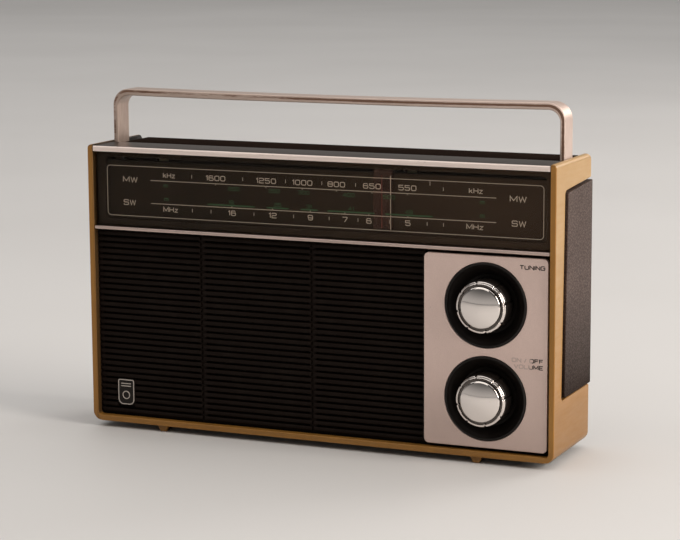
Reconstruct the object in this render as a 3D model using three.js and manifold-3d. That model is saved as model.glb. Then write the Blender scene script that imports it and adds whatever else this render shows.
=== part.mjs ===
// A portable two-band transistor radio: a moulded cabinet with cut-away sides, a textured rear cover whose
// wings fill those cut-aways, a ribbed grille, a slide-rule dial with a cord-driven pointer, two capped knobs
// and a flat-strip handle that folds back. Millimetres, +X to the right, +Y to the back, +Z up. The origin is
// on the resting surface, under the middle of the bounding box.
//
// Everything is laid out in the case frame: x is 0 in the middle of the case, y is 0 at the front rim and
// z is 0 at the underside of the cabinet. The exported group shifts that frame onto the origin.

import * as THREE from 'three';
import { mergeVertices } from 'three/addons/utils/BufferGeometryUtils.js';
import Module from 'manifold-3d';

// ---------------------------------------------------------------- driving dimensions

const WIDTH = 230; // cabinet, outside
const HEIGHT = 131; // underside to the top plate
const DEPTH = 49.5; // front rim to the rear edge of the cabinet
const WALL = 2.6; // cabinet walls, and the width of the front rim
const CORNER = 4.3; // outside radius of the lower corners
const FOOT = 3; // height of the feet
const GAP = 0.3; // between pieces that touch
const BACK = 51.2; // outer face of the rear cover
const KNOB_TIP = 7.2; // how far the knobs stand out of the front rim

const HALF = WIDTH / 2;
const INNER = HALF - WALL; // inner face of the side walls
const FACE = INNER - GAP; // half width of everything that fits between the walls
const RIM_Y = (KNOB_TIP - BACK) / 2; // the rim's place once the bounding box is centred

// Side cut-aways and the wings that fill them.
const NOTCH = { front: 10.2, lean: 1.6, bottom: 26.3, topFront: 118.8, topRear: 120.8 };
const WING_GAP = 1;
const WING_PROUD = 1;
const COVER = 1.8; // thickness of the rear cover
const COVER_INSIDE = BACK - COVER;

// Front, from the top down.
const PLATE = { depth: 20, thick: 1, lip: 2.5 };
const STRIP = { bottom: 91.8, top: 93.4, front: 0.4, back: 6 };
const LENS = { front: 0.8, back: 3.2, bevel: 2.2, bevelDepth: 1.5 };
const SCALE = { bottom: 95, top: 124, front: 6.6, back: 7.6 };
const GRILLE = { right: 53.3, front: 3.4, back: 6.8, pitch: 2.83, slot: 1.1, grooveX: [-57.85, -1.85], groove: 1.2 };
const BADGE = { left: -103.05, right: -94.55, bottom: 7.9, top: 20, corner: 1.5 };
const PANEL = { left: 53.6, right: 111.3, bottom: 4.1, top: 90.3, front: 1.4, back: 3.4, corner: 2.2 };
const FRAME = { front: 8, back: 10, top: 124 };

// Knobs and their wells.
const KNOB_X = 82.5;
const TUNING_Z = 68.2;
const VOLUME_Z = 26.4;
const WELL = { outer: 19, lip: 17.8, floor: 13.4, front: 1.1, depth: 6, back: 7.4, bore: 5 };
const KNOB = { radius: 11.7, front: -3.2, back: 5.6, flutes: 8, fluteRadius: 1.1 };
const SHAFT_R = 3;
const SHAFT_BORE = 3.3;
const SHAFT_FRONT = -1.5;

// Dial drive: the drum on the tuning shaft pulls a cord loop that carries the pointer.
const DRUM_R = 13.4; // radius of the cord's centre line on the drum
const PULLEY_R = 5;
const CORD = { half: 0.4, y: 13.5 };
const PULLEYS = { right: [98, 108], left: [-98, 108], middle: [62, 98] };
const POINTER = { x: 36.6, bottom: 98.8, top: 125.7, band: 8.6 };
const RAIL = { y: 16, z: 119, radius: 1 };

// Loudspeaker, circuit board, aerial rod and batteries.
const SPEAKER = { x: -29, z: 53, radius: 42, hole: 37 };
const BOARD = { left: 24, right: 103, bottom: 12, top: 100, front: 19, back: 20.6 };
const ROD = { left: -96, right: 50, y: 34, z: 112, radius: 4.75 };
const CELL = { radius: 13.1, length: 50, y: 36, z: 17.4, count: 4 };
const BOX = { half: 104.2, wall: 1.2, front: 21.3, bottom: 2.9, top: 32.2, back: 49.1 };
const DOOR = { half: 102.6, bottom: 4.9, top: 30.1, gap: 0.4 };

// Handle: a flat strip bent to a bail, turning on two pins inside the case.
const HANDLE = { front: 20.3, width: 11, thick: 2.4, top: 155.8, sag: 0.7, bend: 8, outer: INNER - GAP };
const PIVOT = { y: HANDLE.front + HANDLE.width / 2, z: 123, pin: 2, bore: 2.3 };
const DECK = { half: 109.1, cheek: 106, front: 20.4, top: 130.4, thick: 1.8, rear: 3 };
const SLOT_FLOOR = 116; // bottom of the handle slots in the rear cover

const SCREWS = [[-107.5, 96], [107.5, 96], [-107.5, 36], [107.5, 36]];
const BOSS = { radius: 3.5, bore: 1.8 };
const SWITCH = { x: 53, z: 90, travel: 6 };
const SOCKET = { x: 82, z: 90 };

// ---------------------------------------------------------------- solids

const wasm = await Module();
wasm.setup();

/** A closed three.js geometry as a solid, with its faces turned outwards. */
function solid(source) {
  const bare = new THREE.BufferGeometry();
  const loose = source.index ? source.toNonIndexed() : source;
  bare.setAttribute('position', loose.getAttribute('position').clone());
  const merged = mergeVertices(bare, 1e-4);
  const { array: index } = merged.index;
  const triVerts = [];
  for (let i = 0; i < index.length; i += 3) {
    const [a, b, c] = index.slice(i, i + 3);
    if (a !== b && b !== c && c !== a) triVerts.push(a, b, c);
  }
  const mesh = new wasm.Mesh({
    numProp: 3,
    vertProperties: merged.attributes.position.array,
    triVerts: new Uint32Array(triVerts),
  });
  return new wasm.Manifold(mesh);
}

/** A solid as a geometry that three.js can draw. */
function shell(manifold) {
  const mesh = manifold.getMesh();
  const geometry = new THREE.BufferGeometry();
  geometry.setAttribute('position', new THREE.BufferAttribute(mesh.vertProperties, 3));
  geometry.setIndex(new THREE.BufferAttribute(mesh.triVerts, 1));
  geometry.computeVertexNormals();
  return geometry;
}

const join = (first, ...rest) => shell(rest.reduce((sum, g) => sum.add(solid(g)), solid(first)));
const cut = (first, ...rest) => shell(rest.reduce((sum, g) => sum.subtract(solid(g)), solid(first)));

/** A block between two limits on each axis. */
function block([x0, x1], [y0, y1], [z0, z1]) {
  const geometry = new THREE.BoxGeometry(x1 - x0, y1 - y0, z1 - z0);
  return geometry.translate((x0 + x1) / 2, (y0 + y1) / 2, (z0 + z1) / 2);
}

/** A front-view outline in x and z, made solid from y0 back to y1. */
function slab(shape, y0, y1) {
  const geometry = new THREE.ExtrudeGeometry(shape, { depth: y1 - y0, bevelEnabled: false, curveSegments: 5 });
  return geometry.rotateX(Math.PI / 2).translate(0, y1, 0);
}

/** A side-view outline in y and z, made solid from x0 to x1. */
function beam(shape, x0, x1) {
  const geometry = new THREE.ExtrudeGeometry(shape, { depth: x1 - x0, bevelEnabled: false, curveSegments: 5 });
  const turn = new THREE.Matrix4().makeBasis(
    new THREE.Vector3(0, 1, 0),
    new THREE.Vector3(0, 0, 1),
    new THREE.Vector3(1, 0, 0),
  );
  return geometry.applyMatrix4(turn).translate(x0, 0, 0);
}

/** A profile of [radius, y] pairs turned about an axis that runs front to back through [x, z]. */
function turned(profile, [x, z], sides = 32) {
  const points = profile.map(([r, y]) => new THREE.Vector2(r, y));
  const geometry = new THREE.LatheGeometry(points, sides);
  return geometry.translate(x, 0, z);
}

/** A rod along y through [x, z]. */
function rodY(radius, y0, y1, centre, sides = 24) {
  return turned([[0, y0], [radius, y0], [radius, y1], [0, y1]], centre, sides);
}

/** A rod along x through [y, z]. */
function rodX(radius, x0, x1, [y, z], sides = 20) {
  const geometry = new THREE.CylinderGeometry(radius, radius, x1 - x0, sides);
  return geometry.rotateZ(-Math.PI / 2).translate((x0 + x1) / 2, y, z);
}

/** A ring along y: a rod with a bore. */
function ringY(bore, radius, y0, y1, centre, sides = 32) {
  return turned([[bore, y0], [radius, y0], [radius, y1], [bore, y1], [bore, y0]], centre, sides);
}

function outline(points) {
  return new THREE.Shape(points.map(([u, v]) => new THREE.Vector2(u, v)));
}

/** A rectangle with round corners, in any plane. */
function roundRect(u0, u1, v0, v1, r) {
  const shape = new THREE.Shape();
  shape.absarc(u1 - r, v0 + r, r, -Math.PI / 2, 0);
  shape.absarc(u1 - r, v1 - r, r, 0, Math.PI / 2);
  shape.absarc(u0 + r, v1 - r, r, Math.PI / 2, Math.PI);
  shape.absarc(u0 + r, v0 + r, r, Math.PI, Math.PI * 1.5);
  shape.closePath();
  return shape;
}

// ---------------------------------------------------------------- cabinet and covers

/** The side view of a cut-away, shrunk by a gap for the wing that fills it. */
function notchOutline(gap, rear) {
  const slope = (NOTCH.topRear - NOTCH.topFront) / (DEPTH - NOTCH.front);
  const front = NOTCH.front + gap;
  const top = NOTCH.topFront - gap;
  return outline([
    [front, NOTCH.bottom + gap],
    [rear, NOTCH.bottom + gap],
    [rear, top + slope * (rear - front)],
    [front + NOTCH.lean, top],
  ]);
}

/** A tapered peg that hangs under the cabinet. */
function foot(x, y) {
  const peg = outline([[x - 2.9, 1], [x - 2.9, 0], [x - 1.4, -FOOT], [x + 1.4, -FOOT], [x + 2.9, 0], [x + 2.9, 1]]);
  return slab(peg, y, y + 5.2);
}

function cabinet() {
  const wallTop = HEIGHT + 0.6;
  const sleeve = new THREE.Shape();
  sleeve.moveTo(INNER, wallTop);
  sleeve.lineTo(INNER, WALL);
  sleeve.lineTo(-INNER, WALL);
  sleeve.lineTo(-INNER, wallTop);
  sleeve.absarc(-HALF + 1.2, wallTop - 1.2, 1.2, Math.PI / 2, Math.PI);
  sleeve.absarc(-HALF + CORNER, CORNER, CORNER, Math.PI, Math.PI * 1.5);
  sleeve.absarc(HALF - CORNER, CORNER, CORNER, -Math.PI / 2, 0);
  sleeve.absarc(HALF - 1.2, wallTop - 1.2, 1.2, 0, Math.PI / 2);
  sleeve.closePath();
  const shelf = block([-INNER - 1, INNER + 1], [4, PLATE.depth - GAP], [127.2, HEIGHT - PLATE.thick - GAP]);
  const feet = [-78.4, 78.4].flatMap((x) => [foot(x, 1.2), foot(x, 43)]);
  const notch = notchOutline(0, DEPTH + 1);
  const pinHoles = [-1, 1].map((side) => {
    const x = [INNER - 1, INNER + 1.9].map((v) => v * side).sort((a, b) => a - b);
    return rodX(PIVOT.bore, ...x, [PIVOT.y, PIVOT.z]);
  });
  return cut(
    join(slab(sleeve, 0, DEPTH), shelf, ...feet),
    beam(notch, INNER - 0.05, HALF + 1),
    beam(notch, -HALF - 1, -INNER + 0.05),
    ...pinHoles,
  );
}

/** The moulding inside the cabinet that carries the speaker, the dial drive and the screw bosses. */
function frontFrame() {
  const back = FRAME.back - 1;
  const plate = block([-FACE, FACE], [FRAME.front, FRAME.back], [WALL + GAP, FRAME.top]);
  const bosses = SCREWS.map((place) => rodY(BOSS.radius, back, BOX.back, place, 20));
  const studs = Object.values(PULLEYS).map((place) => rodY(1.5, back, 16, place, 16));
  const posts = [-1, 1].map((side) => {
    const x = [104, 108].map((v) => v * side).sort((a, b) => a - b);
    return block(x, [back, 18.5], [116.5, 121.5]);
  });
  const knobHoles = [TUNING_Z, VOLUME_Z].map((z) => rodY(5.2, 7, 11, [KNOB_X, z], 24));
  const screwHoles = SCREWS.map((place) => rodY(BOSS.bore, 34, 50, place, 16));
  return cut(
    join(plate, ...bosses, ...studs, ...posts),
    rodY(SPEAKER.hole, 7, 11, [SPEAKER.x, SPEAKER.z], 48),
    rodX(RAIL.radius + GAP, -110, 110, [RAIL.y, RAIL.z], 16),
    ...knobHoles,
    ...screwHoles,
  );
}

/** The sheet over the front half of the top, with a lip turned down over the dial. */
function topPlate() {
  const under = HEIGHT - PLATE.thick;
  return beam(
    outline([
      [0, HEIGHT - PLATE.lip],
      [PLATE.thick, HEIGHT - PLATE.lip],
      [PLATE.thick, under],
      [PLATE.depth, under],
      [PLATE.depth, HEIGHT],
      [0, HEIGHT],
    ]),
    -FACE,
    FACE,
  );
}

function rearCover() {
  const { half, cheek, front, top, thick, rear } = DECK;
  const bottom = WALL + GAP;
  const spine = new THREE.Shape();
  spine.moveTo(front, top);
  spine.lineTo(front, top - thick);
  spine.lineTo(COVER_INSIDE, top - thick);
  spine.lineTo(COVER_INSIDE, bottom);
  spine.lineTo(BACK, bottom);
  spine.absarc(BACK - rear, top - rear, rear, 0, Math.PI / 2);
  spine.closePath();

  const sides = [-1, 1].flatMap((side) => {
    const span = (a, b) => [a * side, b * side].sort((p, q) => p - q);
    const wing = notchOutline(WING_GAP, BACK - 0.5);
    return [
      block(span(half - 1, FACE), [COVER_INSIDE, BACK], [bottom, SLOT_FLOOR]),
      block(span(cheek - 1.4, FACE), [front, BACK], [SLOT_FLOOR - 1.5, SLOT_FLOOR]),
      block(span(cheek - 1.4, cheek), [front, BACK - 1], [SLOT_FLOOR - 1.5, top - 0.5]),
      beam(wing, ...span(INNER + GAP, HALF + WING_PROUD)),
      block(span(FACE - 2, HALF), [COVER_INSIDE, BACK - 0.5], [NOTCH.bottom + 1, SLOT_FLOOR]),
    ];
  });
  const vents = Array.from({ length: 14 }, (_, i) => {
    const x = SPEAKER.x + (i - 6.5) * 5;
    return block([x - 0.9, x + 0.9], [COVER_INSIDE - 1, BACK + 1], [40, 78]);
  });
  const door = DOOR.half + DOOR.gap;
  const holes = [
    block([-door, door], [COVER_INSIDE - 1, BACK + 1], [DOOR.bottom - DOOR.gap, DOOR.top + DOOR.gap]),
    slab(roundRect(SWITCH.x - 6.5, SWITCH.x + 6.5, SWITCH.z - 2.6, SWITCH.z + 2.6, 1), 49, BACK + 1),
    rodY(4.4, 49, BACK + 1, [SOCKET.x, SOCKET.z], 24),
    ...SCREWS.flatMap((place) => [rodY(1.9, 49, 52, place, 16), rodY(3.4, 50.1, 52, place, 20)]),
  ];
  return cut(join(beam(spine, -half, half), ...sides), ...vents, ...holes);
}

function batteryDoor() {
  const { half, bottom, top } = DOOR;
  const panel = slab(roundRect(-half, half, bottom, top, 1.5), COVER_INSIDE, BACK);
  const thumb = rodY(9, BACK - 1, BACK + 1, [0, top + 2], 32);
  return cut(panel, thumb);
}

/** A round-headed slotted screw that holds the rear cover. */
function coverScrew(place) {
  const [x, z] = place;
  const screw = turned([[0, 36], [1.5, 36], [1.5, 50.4], [3.1, 50.4], [2.9, 51], [0, 51.15]], place, 20);
  return cut(screw, block([x - 4, x + 4], [50.75, 52], [z - 0.4, z + 0.4]));
}

// ---------------------------------------------------------------- front panels

function dividerStrip() {
  return block([-FACE, FACE], [STRIP.front, STRIP.back], [STRIP.bottom, STRIP.top]);
}

/** A ribbed panel, with a slot between each pair of ribs and two vertical grooves. */
function grille() {
  const bottom = WALL + GAP;
  const top = STRIP.bottom - GAP;
  const { right, front, back, pitch, slot, grooveX, groove } = GRILLE;
  const edges = [-FACE, ...grooveX, right];
  const rows = Math.floor((top - bottom - 1) / pitch);
  const start = (top + bottom - (rows - 1) * pitch) / 2;
  const slots = [];
  for (let row = 0; row < rows; row += 1) {
    const z = start + row * pitch;
    for (let bay = 0; bay < 3; bay += 1) {
      const x = [edges[bay] + 1.6, edges[bay + 1] - 1.6];
      slots.push(block(x, [front - 1, back + 1], [z - slot / 2, z + slot / 2]));
    }
  }
  const grooves = grooveX.map((x) => block([x - groove / 2, x + groove / 2], [front - 1, front + 1], [0, 95]));
  const seat = [[BADGE.left - GAP, BADGE.right + GAP], [BADGE.bottom - GAP, BADGE.top + GAP]];
  const badgeSeat = block(seat[0], [front - 1, front + 0.8], seat[1]);
  const pad = block(seat[0], [front + 0.5, back], seat[1]);
  const ribbed = cut(block([-FACE, right], [front, back], [bottom, top]), ...slots, ...grooves);
  return cut(join(ribbed, pad), badgeSeat);
}

/** A plain tile in the lower left corner of the grille. */
function badge() {
  const { left, right, bottom, top, corner } = BADGE;
  return slab(roundRect(left, right, bottom, top, corner), GRILLE.front - 0.2, GRILLE.front + 0.5);
}

function knobPanel() {
  const { left, right, bottom, top, front, back, corner } = PANEL;
  const holes = [TUNING_Z, VOLUME_Z].map((z) => rodY(WELL.outer + GAP, front - 1, back + 1, [KNOB_X, z], 40));
  return cut(slab(roundRect(left, right, bottom, top, corner), front, back), ...holes);
}

/** A black dish that a knob stands in. */
function well(z) {
  const { outer, lip, floor, front, depth, back, bore } = WELL;
  const profile = [
    [bore, back],
    [bore, depth],
    [floor, depth],
    [lip, front + 0.4],
    [lip + 0.4, front],
    [outer - 0.3, front],
    [outer, front + 0.3],
    [outer, back],
    [bore, back],
  ];
  return turned(profile, [KNOB_X, z], 40);
}

/** The clear lens over the dial, bevelled all round. */
function dialWindow() {
  const bottom = STRIP.top + GAP;
  const top = HEIGHT - PLATE.lip - GAP;
  const { front, back, bevel, bevelDepth } = LENS;
  const slope = outline([
    [back, bottom],
    [back, top],
    [front + bevelDepth, top],
    [front, top - bevel],
    [front, bottom + bevel],
    [front + bevelDepth, bottom],
  ]);
  const ends = [-1, 1].map((side) => {
    const wedge = new THREE.Shape();
    wedge.moveTo((FACE + 1) * side, front - 1);
    wedge.lineTo((FACE - bevel - 1.5) * side, front - 1);
    wedge.lineTo((FACE - bevel) * side, front);
    wedge.lineTo(FACE * side, front + bevelDepth);
    wedge.lineTo((FACE + 1) * side, front + bevelDepth);
    const geometry = new THREE.ExtrudeGeometry(wedge, { depth: top - bottom + 2, bevelEnabled: false });
    return geometry.translate(0, 0, bottom - 1);
  });
  return cut(beam(slope, -FACE, FACE), ...ends);
}

function dialPlate() {
  return block([-FACE + 1, FACE - 1], [SCALE.front, SCALE.back], [SCALE.bottom, SCALE.top]);
}

// ---------------------------------------------------------------- knobs and dial drive

/** The scallops round a knob's rim. */
function flutes(z, y0, y1) {
  return Array.from({ length: KNOB.flutes }, (_, i) => {
    const angle = ((i + 0.25) * 2 * Math.PI) / KNOB.flutes;
    const reach = KNOB.radius + 0.5;
    const place = [KNOB_X + reach * Math.cos(angle), z + reach * Math.sin(angle)];
    return rodY(KNOB.fluteRadius, y0, y1, place, 8);
  });
}

/** The black grip of a knob, hollow at the back for its shaft. */
function knob(z) {
  const { radius, front, back } = KNOB;
  const profile = [
    [0, front],
    [radius - 0.6, front],
    [radius, front + 0.6],
    [radius, back - 0.4],
    [SHAFT_BORE + 2, back - 0.4],
    [SHAFT_BORE, back - 0.4],
    [SHAFT_BORE, SHAFT_FRONT - GAP],
    [0, SHAFT_FRONT - GAP],
  ];
  return cut(turned(profile, [KNOB_X, z]), ...flutes(z, front - 1, back + 1));
}

/** The plated cap on a knob: a notched flange, a stepped ring and a mirror dome. */
function knobCap(z) {
  const seat = KNOB.front - GAP;
  const dome = { radius: 9.7, rim: -5.2, tip: -KNOB_TIP };
  const profile = [[0, dome.tip]];
  for (let i = 1; i <= 4; i += 1) {
    const share = i / 4;
    profile.push([dome.radius * share, dome.tip + (dome.rim - dome.tip) * share ** 2]);
  }
  profile.push([10.3, dome.rim], [10.5, seat - 0.9], [KNOB.radius - 0.2, seat - 0.9], [KNOB.radius - 0.2, seat], [0, seat]);
  return cut(turned(profile, [KNOB_X, z]), ...flutes(z, dome.tip, seat + 1));
}

const shaft = (z, end) => rodY(SHAFT_R, SHAFT_FRONT, end, [KNOB_X, z], 24);

/** A grooved wheel for the cord, whose centre line runs at the given radius. */
function sheave(bore, cordRadius, place, sides) {
  const groove = cordRadius - CORD.half - GAP;
  const flange = cordRadius + 1.1;
  const { y } = CORD;
  const profile = [
    [bore, y - 1.7],
    [flange, y - 1.7],
    [flange, y - 1.1],
    [groove, y - 0.8],
    [groove, y + 0.8],
    [flange, y + 1.1],
    [flange, y + 1.7],
    [bore, y + 1.7],
    [bore, y - 1.7],
  ];
  return turned(profile, place, sides);
}

/**
 * One edge of the cord loop, as points in x and z. The cord runs counter-clockwise from the front round the
 * drum and the two end pulleys, and the other way over the middle one. Offset moves the edge outwards.
 */
function cordEdge(offset) {
  const wheels = [
    { at: PULLEYS.right, r: PULLEY_R },
    { at: PULLEYS.left, r: PULLEY_R },
    { at: PULLEYS.middle, r: -PULLEY_R },
    { at: [KNOB_X, TUNING_Z], r: DRUM_R },
  ].map((wheel) => ({ at: wheel.at, r: wheel.r + offset, turn: Math.sign(wheel.r) }));
  const leaving = wheels.map((wheel, i) => {
    const next = wheels[(i + 1) % wheels.length];
    const dx = next.at[0] - wheel.at[0];
    const dz = next.at[1] - wheel.at[1];
    return Math.atan2(dz, dx) - Math.acos((wheel.r - next.r) / Math.hypot(dx, dz));
  });
  const points = [];
  wheels.forEach((wheel, i) => {
    const from = leaving[(i + wheels.length - 1) % wheels.length];
    let sweep = leaving[i] - from;
    while (sweep * wheel.turn < 0) sweep += 2 * Math.PI * wheel.turn;
    while (sweep * wheel.turn > 2 * Math.PI) sweep -= 2 * Math.PI * wheel.turn;
    const steps = Math.ceil(Math.abs(sweep) / 0.35);
    for (let k = 0; k <= steps; k += 1) {
      const angle = from + (sweep * k) / steps;
      points.push([wheel.at[0] + wheel.r * Math.cos(angle), wheel.at[1] + wheel.r * Math.sin(angle)]);
    }
  });
  return points;
}

function dialCord() {
  const loop = outline(cordEdge(CORD.half));
  loop.holes.push(outline(cordEdge(-CORD.half)));
  return slab(loop, CORD.y - CORD.half, CORD.y + CORD.half);
}

/** The slider on the rail, with the arm that reaches over the dial plate. */
function pointerCarriage() {
  const { x, top } = POINTER;
  const slider = block([x - 5, x + 5], [14.4, 17.6], [110, 122]);
  const riser = block([x - 2, x + 2], [14.4, 16], [121, top]);
  const arm = block([x - 2, x + 2], [5.7, 16], [top - 0.8, top]);
  return cut(join(slider, riser, arm), rodX(RAIL.radius + GAP, x - 6, x + 6, [RAIL.y, RAIL.z], 16));
}

/** The tinted strip that runs behind the lens, and the line along its edge. */
const pointerBand = () => block([POINTER.x - POINTER.band, POINTER.x + 0.6], [4.6, 5.4], [POINTER.bottom, POINTER.top]);
const pointerLine = () => block([POINTER.x - 0.35, POINTER.x + 0.35], [4, 4.3], [POINTER.bottom, 123]);

const pointerRail = () => rodX(RAIL.radius, -109, 109, [RAIL.y, RAIL.z], 16);

// ---------------------------------------------------------------- electronics

function tuningCapacitor() {
  const can = block([KNOB_X - 12, KNOB_X + 12], [BOARD.back + GAP, 37], [TUNING_Z - 12, TUNING_Z + 12]);
  return cut(can, rodY(SHAFT_BORE, 20, 25, [KNOB_X, TUNING_Z], 24));
}

/** Volume potentiometer with its switch: a round can with a threaded neck. */
function volumeControl() {
  const profile = [
    [SHAFT_BORE, 7.7],
    [4.6, 7.7],
    [4.6, 11.2],
    [8.5, 11.2],
    [8.5, 17.6],
    [0, 17.6],
    [0, 15.5],
    [SHAFT_BORE, 15.5],
    [SHAFT_BORE, 7.7],
  ];
  return turned(profile, [KNOB_X, VOLUME_Z], 32);
}

function circuitBoard() {
  const { left, right, bottom, top, front, back } = BOARD;
  const board = block([left, right], [front, back], [bottom, top]);
  return cut(board, rodY(4.5, front - 1, back + 1, [KNOB_X, TUNING_Z], 24));
}

const onBoard = BOARD.back + GAP;
const ifCan = (x, z) => block([x - 5, x + 5], [onBoard, 33.5], [z - 5, z + 5]);
const electrolytic = (x, z) => rodY(5, onBoard, 34, [x, z], 24);
const transformer = () => block([28, 46], [onBoard, 35], [36, 50]);

function rodHolder(x) {
  const saddle = block([x - 2, x + 2], [18.9, 40.5], [105, 119.5]);
  const stem = block([x - 2, x + 2], [20.5, 22.5], [118, 126.9]);
  return cut(join(saddle, stem), rodX(ROD.radius + GAP, x - 4, x + 4, [ROD.y, ROD.z], 24));
}

function ferriteCoil() {
  const former = rodX(6.3, -72, -38, [ROD.y, ROD.z], 24);
  return cut(former, rodX(ROD.radius + GAP, -80, -30, [ROD.y, ROD.z], 24));
}

function bandSwitch() {
  const { x, z } = SWITCH;
  const body = block([x - 11, x + 11], [38, 46], [z - 5, z + 5]);
  return cut(body, block([x - 8, x + 8], [43, 47], [z - 2.4, z + 2.4]));
}

/** The thumb piece at the left end of its travel. */
function bandSwitchSlider() {
  const { x, z, travel } = SWITCH;
  const middle = x - travel / 2;
  const foot = block([middle - 4, middle + 4], [43.4, 48.8], [z - 2.1, z + 2.1]);
  const ridges = [-2, 0, 2].map((dx) => block([middle + dx - 0.5, middle + dx + 0.5], [50.4, BACK], [z - 2.1, z + 2.1]));
  return join(foot, block([middle - 3, middle + 3], [48, 50.6], [z - 2.1, z + 2.1]), ...ridges);
}

function earphoneSocket() {
  const profile = [[1.8, 38], [5, 38], [5, 49], [4, 49], [4, 51], [1.8, 51], [1.8, 38]];
  return turned(profile, [SOCKET.x, SOCKET.z], 24);
}

// ---------------------------------------------------------------- loudspeaker

function speakerFrame() {
  const basket = turned(
    [
      [SPEAKER.radius, 10.3],
      [SPEAKER.radius, 11.6],
      [37.6, 11.6],
      [19.5, 20],
      [19.5, 26],
      [10, 26],
      [10, 24.8],
      [18.3, 24.8],
      [18.3, 20.6],
      [36.4, 10.9],
      [36.4, 10.3],
      [SPEAKER.radius, 10.3],
    ],
    [SPEAKER.x, SPEAKER.z],
  );
  const windows = Array.from({ length: 6 }, (_, i) => {
    const geometry = new THREE.BoxGeometry(16, 4.4, 13).translate(28.5, 15.9, 0);
    return geometry.rotateY((i * Math.PI) / 3).translate(SPEAKER.x, 0, SPEAKER.z);
  });
  return cut(basket, ...windows);
}

function speakerCone() {
  const profile = [[0, 17.6], [7, 19.4], [9, 21], [33.5, 10.7], [35.8, 10.4], [35.8, 11], [33.6, 11.4], [9, 22], [0, 22]];
  return turned(profile, [SPEAKER.x, SPEAKER.z]);
}

const speakerMagnet = () =>
  turned([[0, 22.4], [8.5, 22.4], [8.5, 26.3], [19, 26.3], [19, 36], [0, 36]], [SPEAKER.x, SPEAKER.z], 24);

// ---------------------------------------------------------------- batteries

/** A trough, open to the back. */
function batteryBox() {
  const { half, wall, front, bottom, top, back } = BOX;
  const outer = block([-half - wall, half + wall], [front, back], [bottom, top]);
  return cut(outer, block([-half, half], [front + wall, back + 1], [bottom + wall / 1.2, top - wall]));
}

/** A round cell on its side, with its cap to the right. */
function cell(index) {
  const x = (index - (CELL.count - 1) / 2) * (CELL.length + GAP);
  const can = CELL.length / 2 - 1.4;
  const place = [CELL.y, CELL.z];
  return join(
    rodX(CELL.radius, x - CELL.length / 2, x + can, place, 24),
    rodX(3, x + can - 1, x + CELL.length / 2, place, 10),
  );
}

const contactPlate = () => block([103, 103.8], [CELL.y - 6, CELL.y + 6], [CELL.z - 7, CELL.z + 7]);

/** A conical spring that presses on the first cell. */
function contactSpring() {
  const turns = 2.5;
  const points = Array.from({ length: 25 }, (_, i) => {
    const share = i / 24;
    const radius = 9 - 4.5 * share;
    const angle = share * turns * 2 * Math.PI;
    return new THREE.Vector3(-103.6 + 2.4 * share, CELL.y + radius * Math.cos(angle), CELL.z + radius * Math.sin(angle));
  });
  const wire = new THREE.Shape().absarc(0, 0, 0.35, 0, 2 * Math.PI);
  return new THREE.ExtrudeGeometry(wire, {
    steps: 24,
    curveSegments: 3,
    bevelEnabled: false,
    extrudePath: new THREE.CatmullRomCurve3(points),
  });
}

// ---------------------------------------------------------------- handle

/** The strip's centre band: up one leg, over a slightly sagging bar and down the other. */
function handle() {
  const { front, width, thick, top, sag, bend, outer } = HANDLE;
  const inner = outer - thick;
  const low = PIVOT.z;
  const strip = new THREE.Shape();
  strip.moveTo(outer, low);
  strip.absarc(outer - bend, top - bend, bend, 0, Math.PI / 2);
  strip.quadraticCurveTo(0, top - 2 * sag, -outer + bend, top);
  strip.absarc(-outer + bend, top - bend, bend, Math.PI / 2, Math.PI);
  strip.lineTo(-outer, low);
  strip.lineTo(-inner, low);
  strip.absarc(-inner + bend - thick, top - bend, bend - thick, Math.PI, Math.PI / 2, true);
  strip.quadraticCurveTo(0, top - thick - 2 * sag, inner - bend + thick, top - thick);
  strip.absarc(inner - bend + thick, top - bend, bend - thick, Math.PI / 2, 0, true);
  strip.lineTo(inner, low);
  strip.closePath();
  const ends = [[-outer, -inner], [inner, outer]].map((x) => rodX(width / 2, ...x, [PIVOT.y, PIVOT.z], 32));
  const holes = [[-outer - 1, -inner + 1], [inner - 1, outer + 1]].map((x) => rodX(PIVOT.bore, ...x, [PIVOT.y, PIVOT.z]));
  return cut(join(slab(strip, front, front + width), ...ends), ...holes);
}

/** A headed pin through a handle leg into the cabinet wall. */
function handlePin(side) {
  const span = (a, b) => [a * side, b * side].sort((p, q) => p - q);
  const place = [PIVOT.y, PIVOT.z];
  const head = HANDLE.outer - HANDLE.thick - GAP;
  return join(rodX(PIVOT.pin, ...span(head - 0.5, INNER + 1.6), place), rodX(3.4, ...span(head - 1.6, head), place));
}

// ---------------------------------------------------------------- assembly

const finish = (color, roughness, metalness = 0, extra = {}) =>
  new THREE.MeshStandardMaterial({ color, roughness, metalness, ...extra });

const MATERIALS = {
  tan: finish(0xc79a55, 0.45),
  aluminium: finish(0xb9b0aa, 0.35, 0.9),
  panel: finish(0xa99b94, 0.4, 0.5),
  grille: finish(0x14110f, 0.5),
  black: finish(0x100e0d, 0.35),
  lens: finish(0x2a2421, 0.08, 0, { transparent: true, opacity: 0.4 }),
  scale: finish(0x16110e, 0.6),
  tint: finish(0x8a4a46, 0.2, 0, { transparent: true, opacity: 0.6 }),
  white: finish(0xe8e2da, 0.5),
  chrome: finish(0xe6e6e6, 0.05, 1),
  steel: finish(0x8f8f90, 0.35, 1),
  cover: finish(0x3b3330, 0.7),
  strap: finish(0xcfc4bc, 0.35, 0.6),
  board: finish(0x8a6a35, 0.6),
  ferrite: finish(0x2c2a2a, 0.7),
  copper: finish(0x9a5a2c, 0.4, 0.6),
  paper: finish(0x201c1a, 0.9),
  nylon: finish(0xd9cfa8, 0.5),
  cell: finish(0x35506b, 0.4, 0.2),
};

const radio = new THREE.Group();
const chassis = new THREE.Group();
chassis.position.set(0, RIM_Y, FOOT);
radio.add(chassis);

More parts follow.
